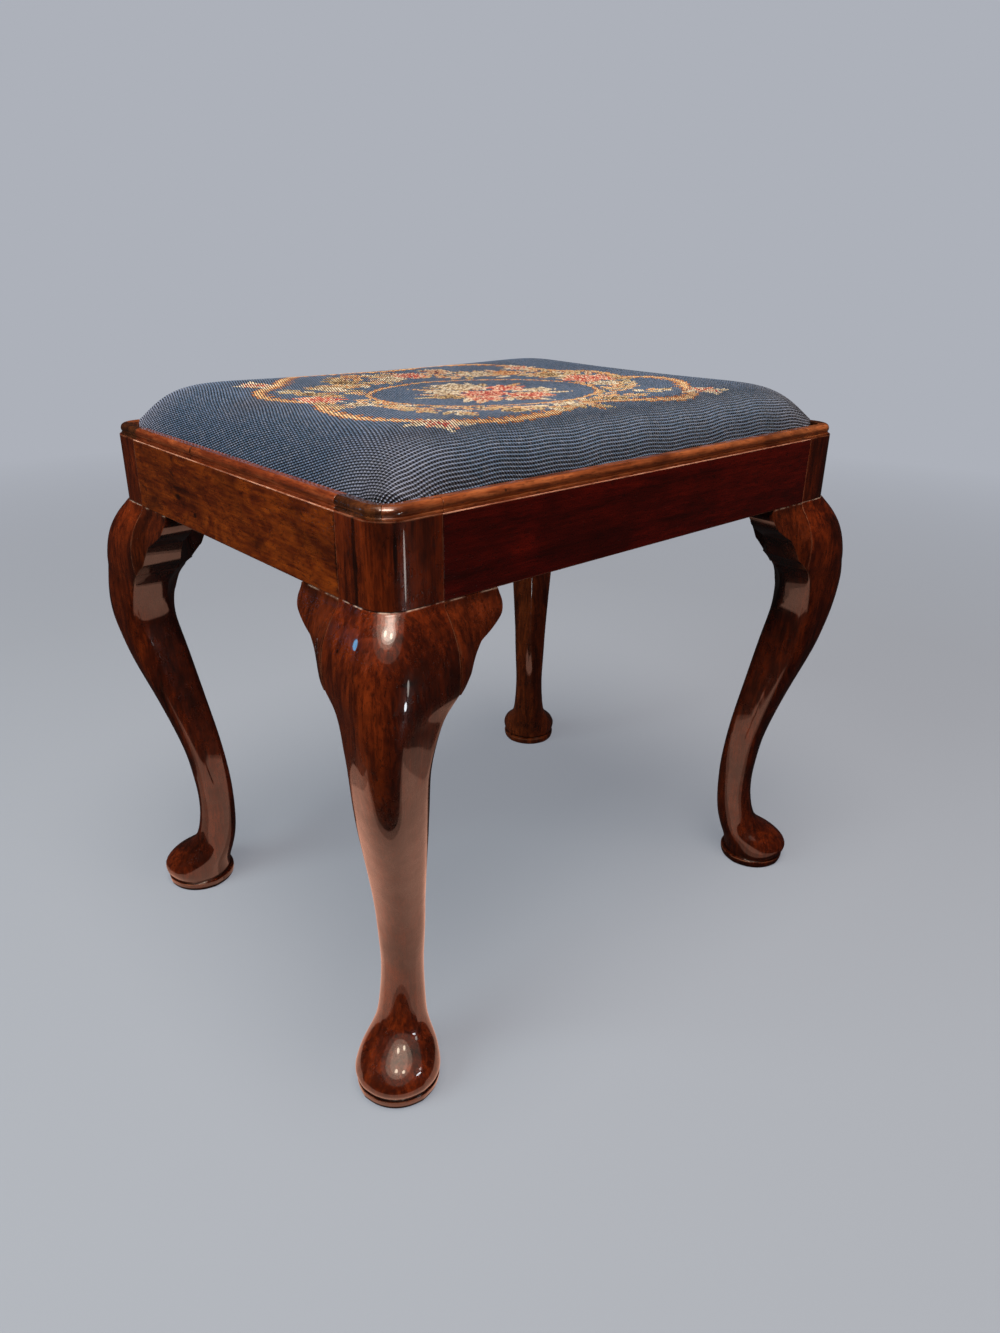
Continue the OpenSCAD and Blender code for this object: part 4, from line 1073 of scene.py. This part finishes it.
bpy.ops.mesh.extrude_edges_move(TRANSFORM_OT_translate={"value": (0, 0, WALL_H)})
bpy.ops.object.mode_set(mode="OBJECT")
smooth(floor, COVE_SMOOTH)
pale_paint = Finish("pale_floor", Roughness=0.9, Specular_IOR_Level=0.0, Emission_Strength=1.0)
place = pale_paint.node("TexCoord", output=3)
away = pale_paint.node("VectorMath", {"operation": "LENGTH"}, {0: place}, 1)
close_by = pale_paint.between(away, 1.0, 2.6, 1.0, 0.0)
lit = pale_paint.tint((0, 0, 0, 1), (0.124, 0.128, 0.133, 1), close_by)
glow = pale_paint.tint(dye(173, 177, 186), dye(127, 130, 138), close_by)
pale_paint.feed(Base_Color=lit, Emission_Color=glow)
floor.data.materials.append(pale_paint.material)
floor.visible_glossy = False
floor.visible_diffuse = False

CAMERA_AT = Vector((-0.5502, -0.6402, 0.5994))
LOOK_ROUND = math.radians(-41.88)
LOOK_DOWN = math.radians(23.87)
ROLL = math.radians(0.677)
LENS = 25.1
PHOTO_HIGH = 1333
CENTRE_DROP = 2.9 / PHOTO_HIGH

view = bpy.data.cameras.new("photo_camera")
view.sensor_width = 36
view.lens = LENS
view.shift_y = CENTRE_DROP
view.clip_start = 0.02
view.clip_end = 50
camera = bpy.data.objects.new("photo_camera", view)
bpy.context.scene.collection.objects.link(camera)
ahead = Vector((-math.sin(LOOK_ROUND) * math.cos(LOOK_DOWN), math.cos(LOOK_ROUND) * math.cos(LOOK_DOWN),
                -math.sin(LOOK_DOWN)))
level_right = Vector((math.cos(LOOK_ROUND), math.sin(LOOK_ROUND), 0))
level_up = level_right.cross(ahead)
right = level_right * math.cos(ROLL) + level_up * math.sin(ROLL)
up = level_up * math.cos(ROLL) - level_right * math.sin(ROLL)
camera.matrix_world = Matrix((
    (right.x, up.x, -ahead.x, CAMERA_AT.x), (right.y, up.y, -ahead.y, CAMERA_AT.y),
    (right.z, up.z, -ahead.z, CAMERA_AT.z), (0, 0, 0, 1)))
bpy.context.scene.camera = camera
bpy.context.scene.view_settings.view_transform = "Standard"

world = bpy.data.worlds.new("room")
bpy.context.scene.world = world
world.use_nodes = True
world.node_tree.nodes["Background"].inputs["Color"].default_value = (0.014, 0.012, 0.012, 1)


def lamp(name, at, aim, wide, high, bright, colour, mirrored):
    """A lamp that either lights the object or is only mirrored in its polish."""
    light = bpy.data.lights.new(name, "AREA")
    light.shape = "ELLIPSE"
    light.size = wide
    light.size_y = high
    light.energy = bright * math.pi * wide * high
    light.color = colour
    made = bpy.data.objects.new(name, light)
    made.location = at
    made.rotation_euler = (Vector(aim) - Vector(at)).to_track_quat("-Z", "Y").to_euler()
    made.visible_glossy = mirrored
    made.visible_diffuse = not mirrored
    made.visible_camera = False
    bpy.context.scene.collection.objects.link(made)
    return made


KNEE = (-0.25, -0.21, 0.38)
POST_TOP = (-0.245, -0.196, 0.465)
DAYLIGHT = (0.82, 0.95, 1.0)
CEILING = (1.0, 0.95, 0.92)
WARM_CEILING = (1.0, 0.68, 0.52)
WARM_SHEEN = (1.0, 0.84, 0.72)
PALE_SHEEN = (1.0, 0.82, 0.68)
WARM_FILL = (1.0, 0.86, 0.78)
BLUE_SKY = (0.06, 0.55, 1.0)
COOL_GLINT = (0.85, 0.93, 1.0)
WARM_GLINT = (1.0, 0.95, 0.9)
BULB = (1.0, 0.86, 0.66)
WARM_FLOOR = (1.0, 0.49, 0.34)

lamp("window_left", (-2.3, 0.3, 1.7), KNEE, 1.7, 1.7, 8.0, DAYLIGHT, False)
lamp("ceiling", (-0.5, -0.6, 2.8), KNEE, 1.8, 1.8, 11.5, CEILING, False)
for step, width in enumerate((2.2, 1.4)):
    glow_at = (-0.75, -0.72, 2.5 - 0.01 * step)
    lamp(f"ceiling_glow_{step}", glow_at, KNEE, width, width, 0.95, WARM_CEILING, True)
lamp("ceiling_sheen", (-0.7, -0.9, 2.52), KNEE, 3.8, 3.8, 0.24, PALE_SHEEN, True)
lamp("bulb_left", (-1.15, -0.9, 2.4), KNEE, 0.26, 0.26, 7.5, BULB, True)
lamp("bulb_right", (-0.75, -1.4, 2.4), KNEE, 0.26, 0.26, 7.5, BULB, True)
lamp("front_fill", (0.9, -2.2, 1.0), KNEE, 1.5, 1.5, 1.8, WARM_FILL, False)
for step, share in enumerate((1.0, 0.72)):
    glow_at = (-0.3 + 0.001 * step, -0.274, 0.537)
    lamp(f"corner_glow_{step}", glow_at, POST_TOP, 0.115 * share, 0.075 * share, 2.4, WARM_SHEEN, True)
lamp("bead_glow", (-0.263, -0.222, 0.489), POST_TOP, 0.04, 0.022, 6, PALE_SHEEN, True)
lamp("blue_window", (-0.468, 0.07, 0.456), KNEE, 0.032, 0.046, 5, BLUE_SKY, True)
lamp("low_glint", (-0.18, -0.5, 0.262), KNEE, 0.045, 0.045, 11, COOL_GLINT, True)
lamp("post_glint", (-0.14, -0.5, 0.33), KNEE, 0.032, 0.07, 2.8, WARM_GLINT, True)
for step, share in enumerate((1.14, 0.98)):
    gleam_at = (-0.18, -0.14, 0.003 + 0.001 * step)
    gleam = lamp(f"floor_gleam_{step}", gleam_at, KNEE, 0.74 * share, 0.36 * share, 0.5, WARM_FLOOR, True)
    gleam.data.shape = "RECTANGLE"
    gleam.rotation_euler = (math.pi, 0, LOOK_ROUND)
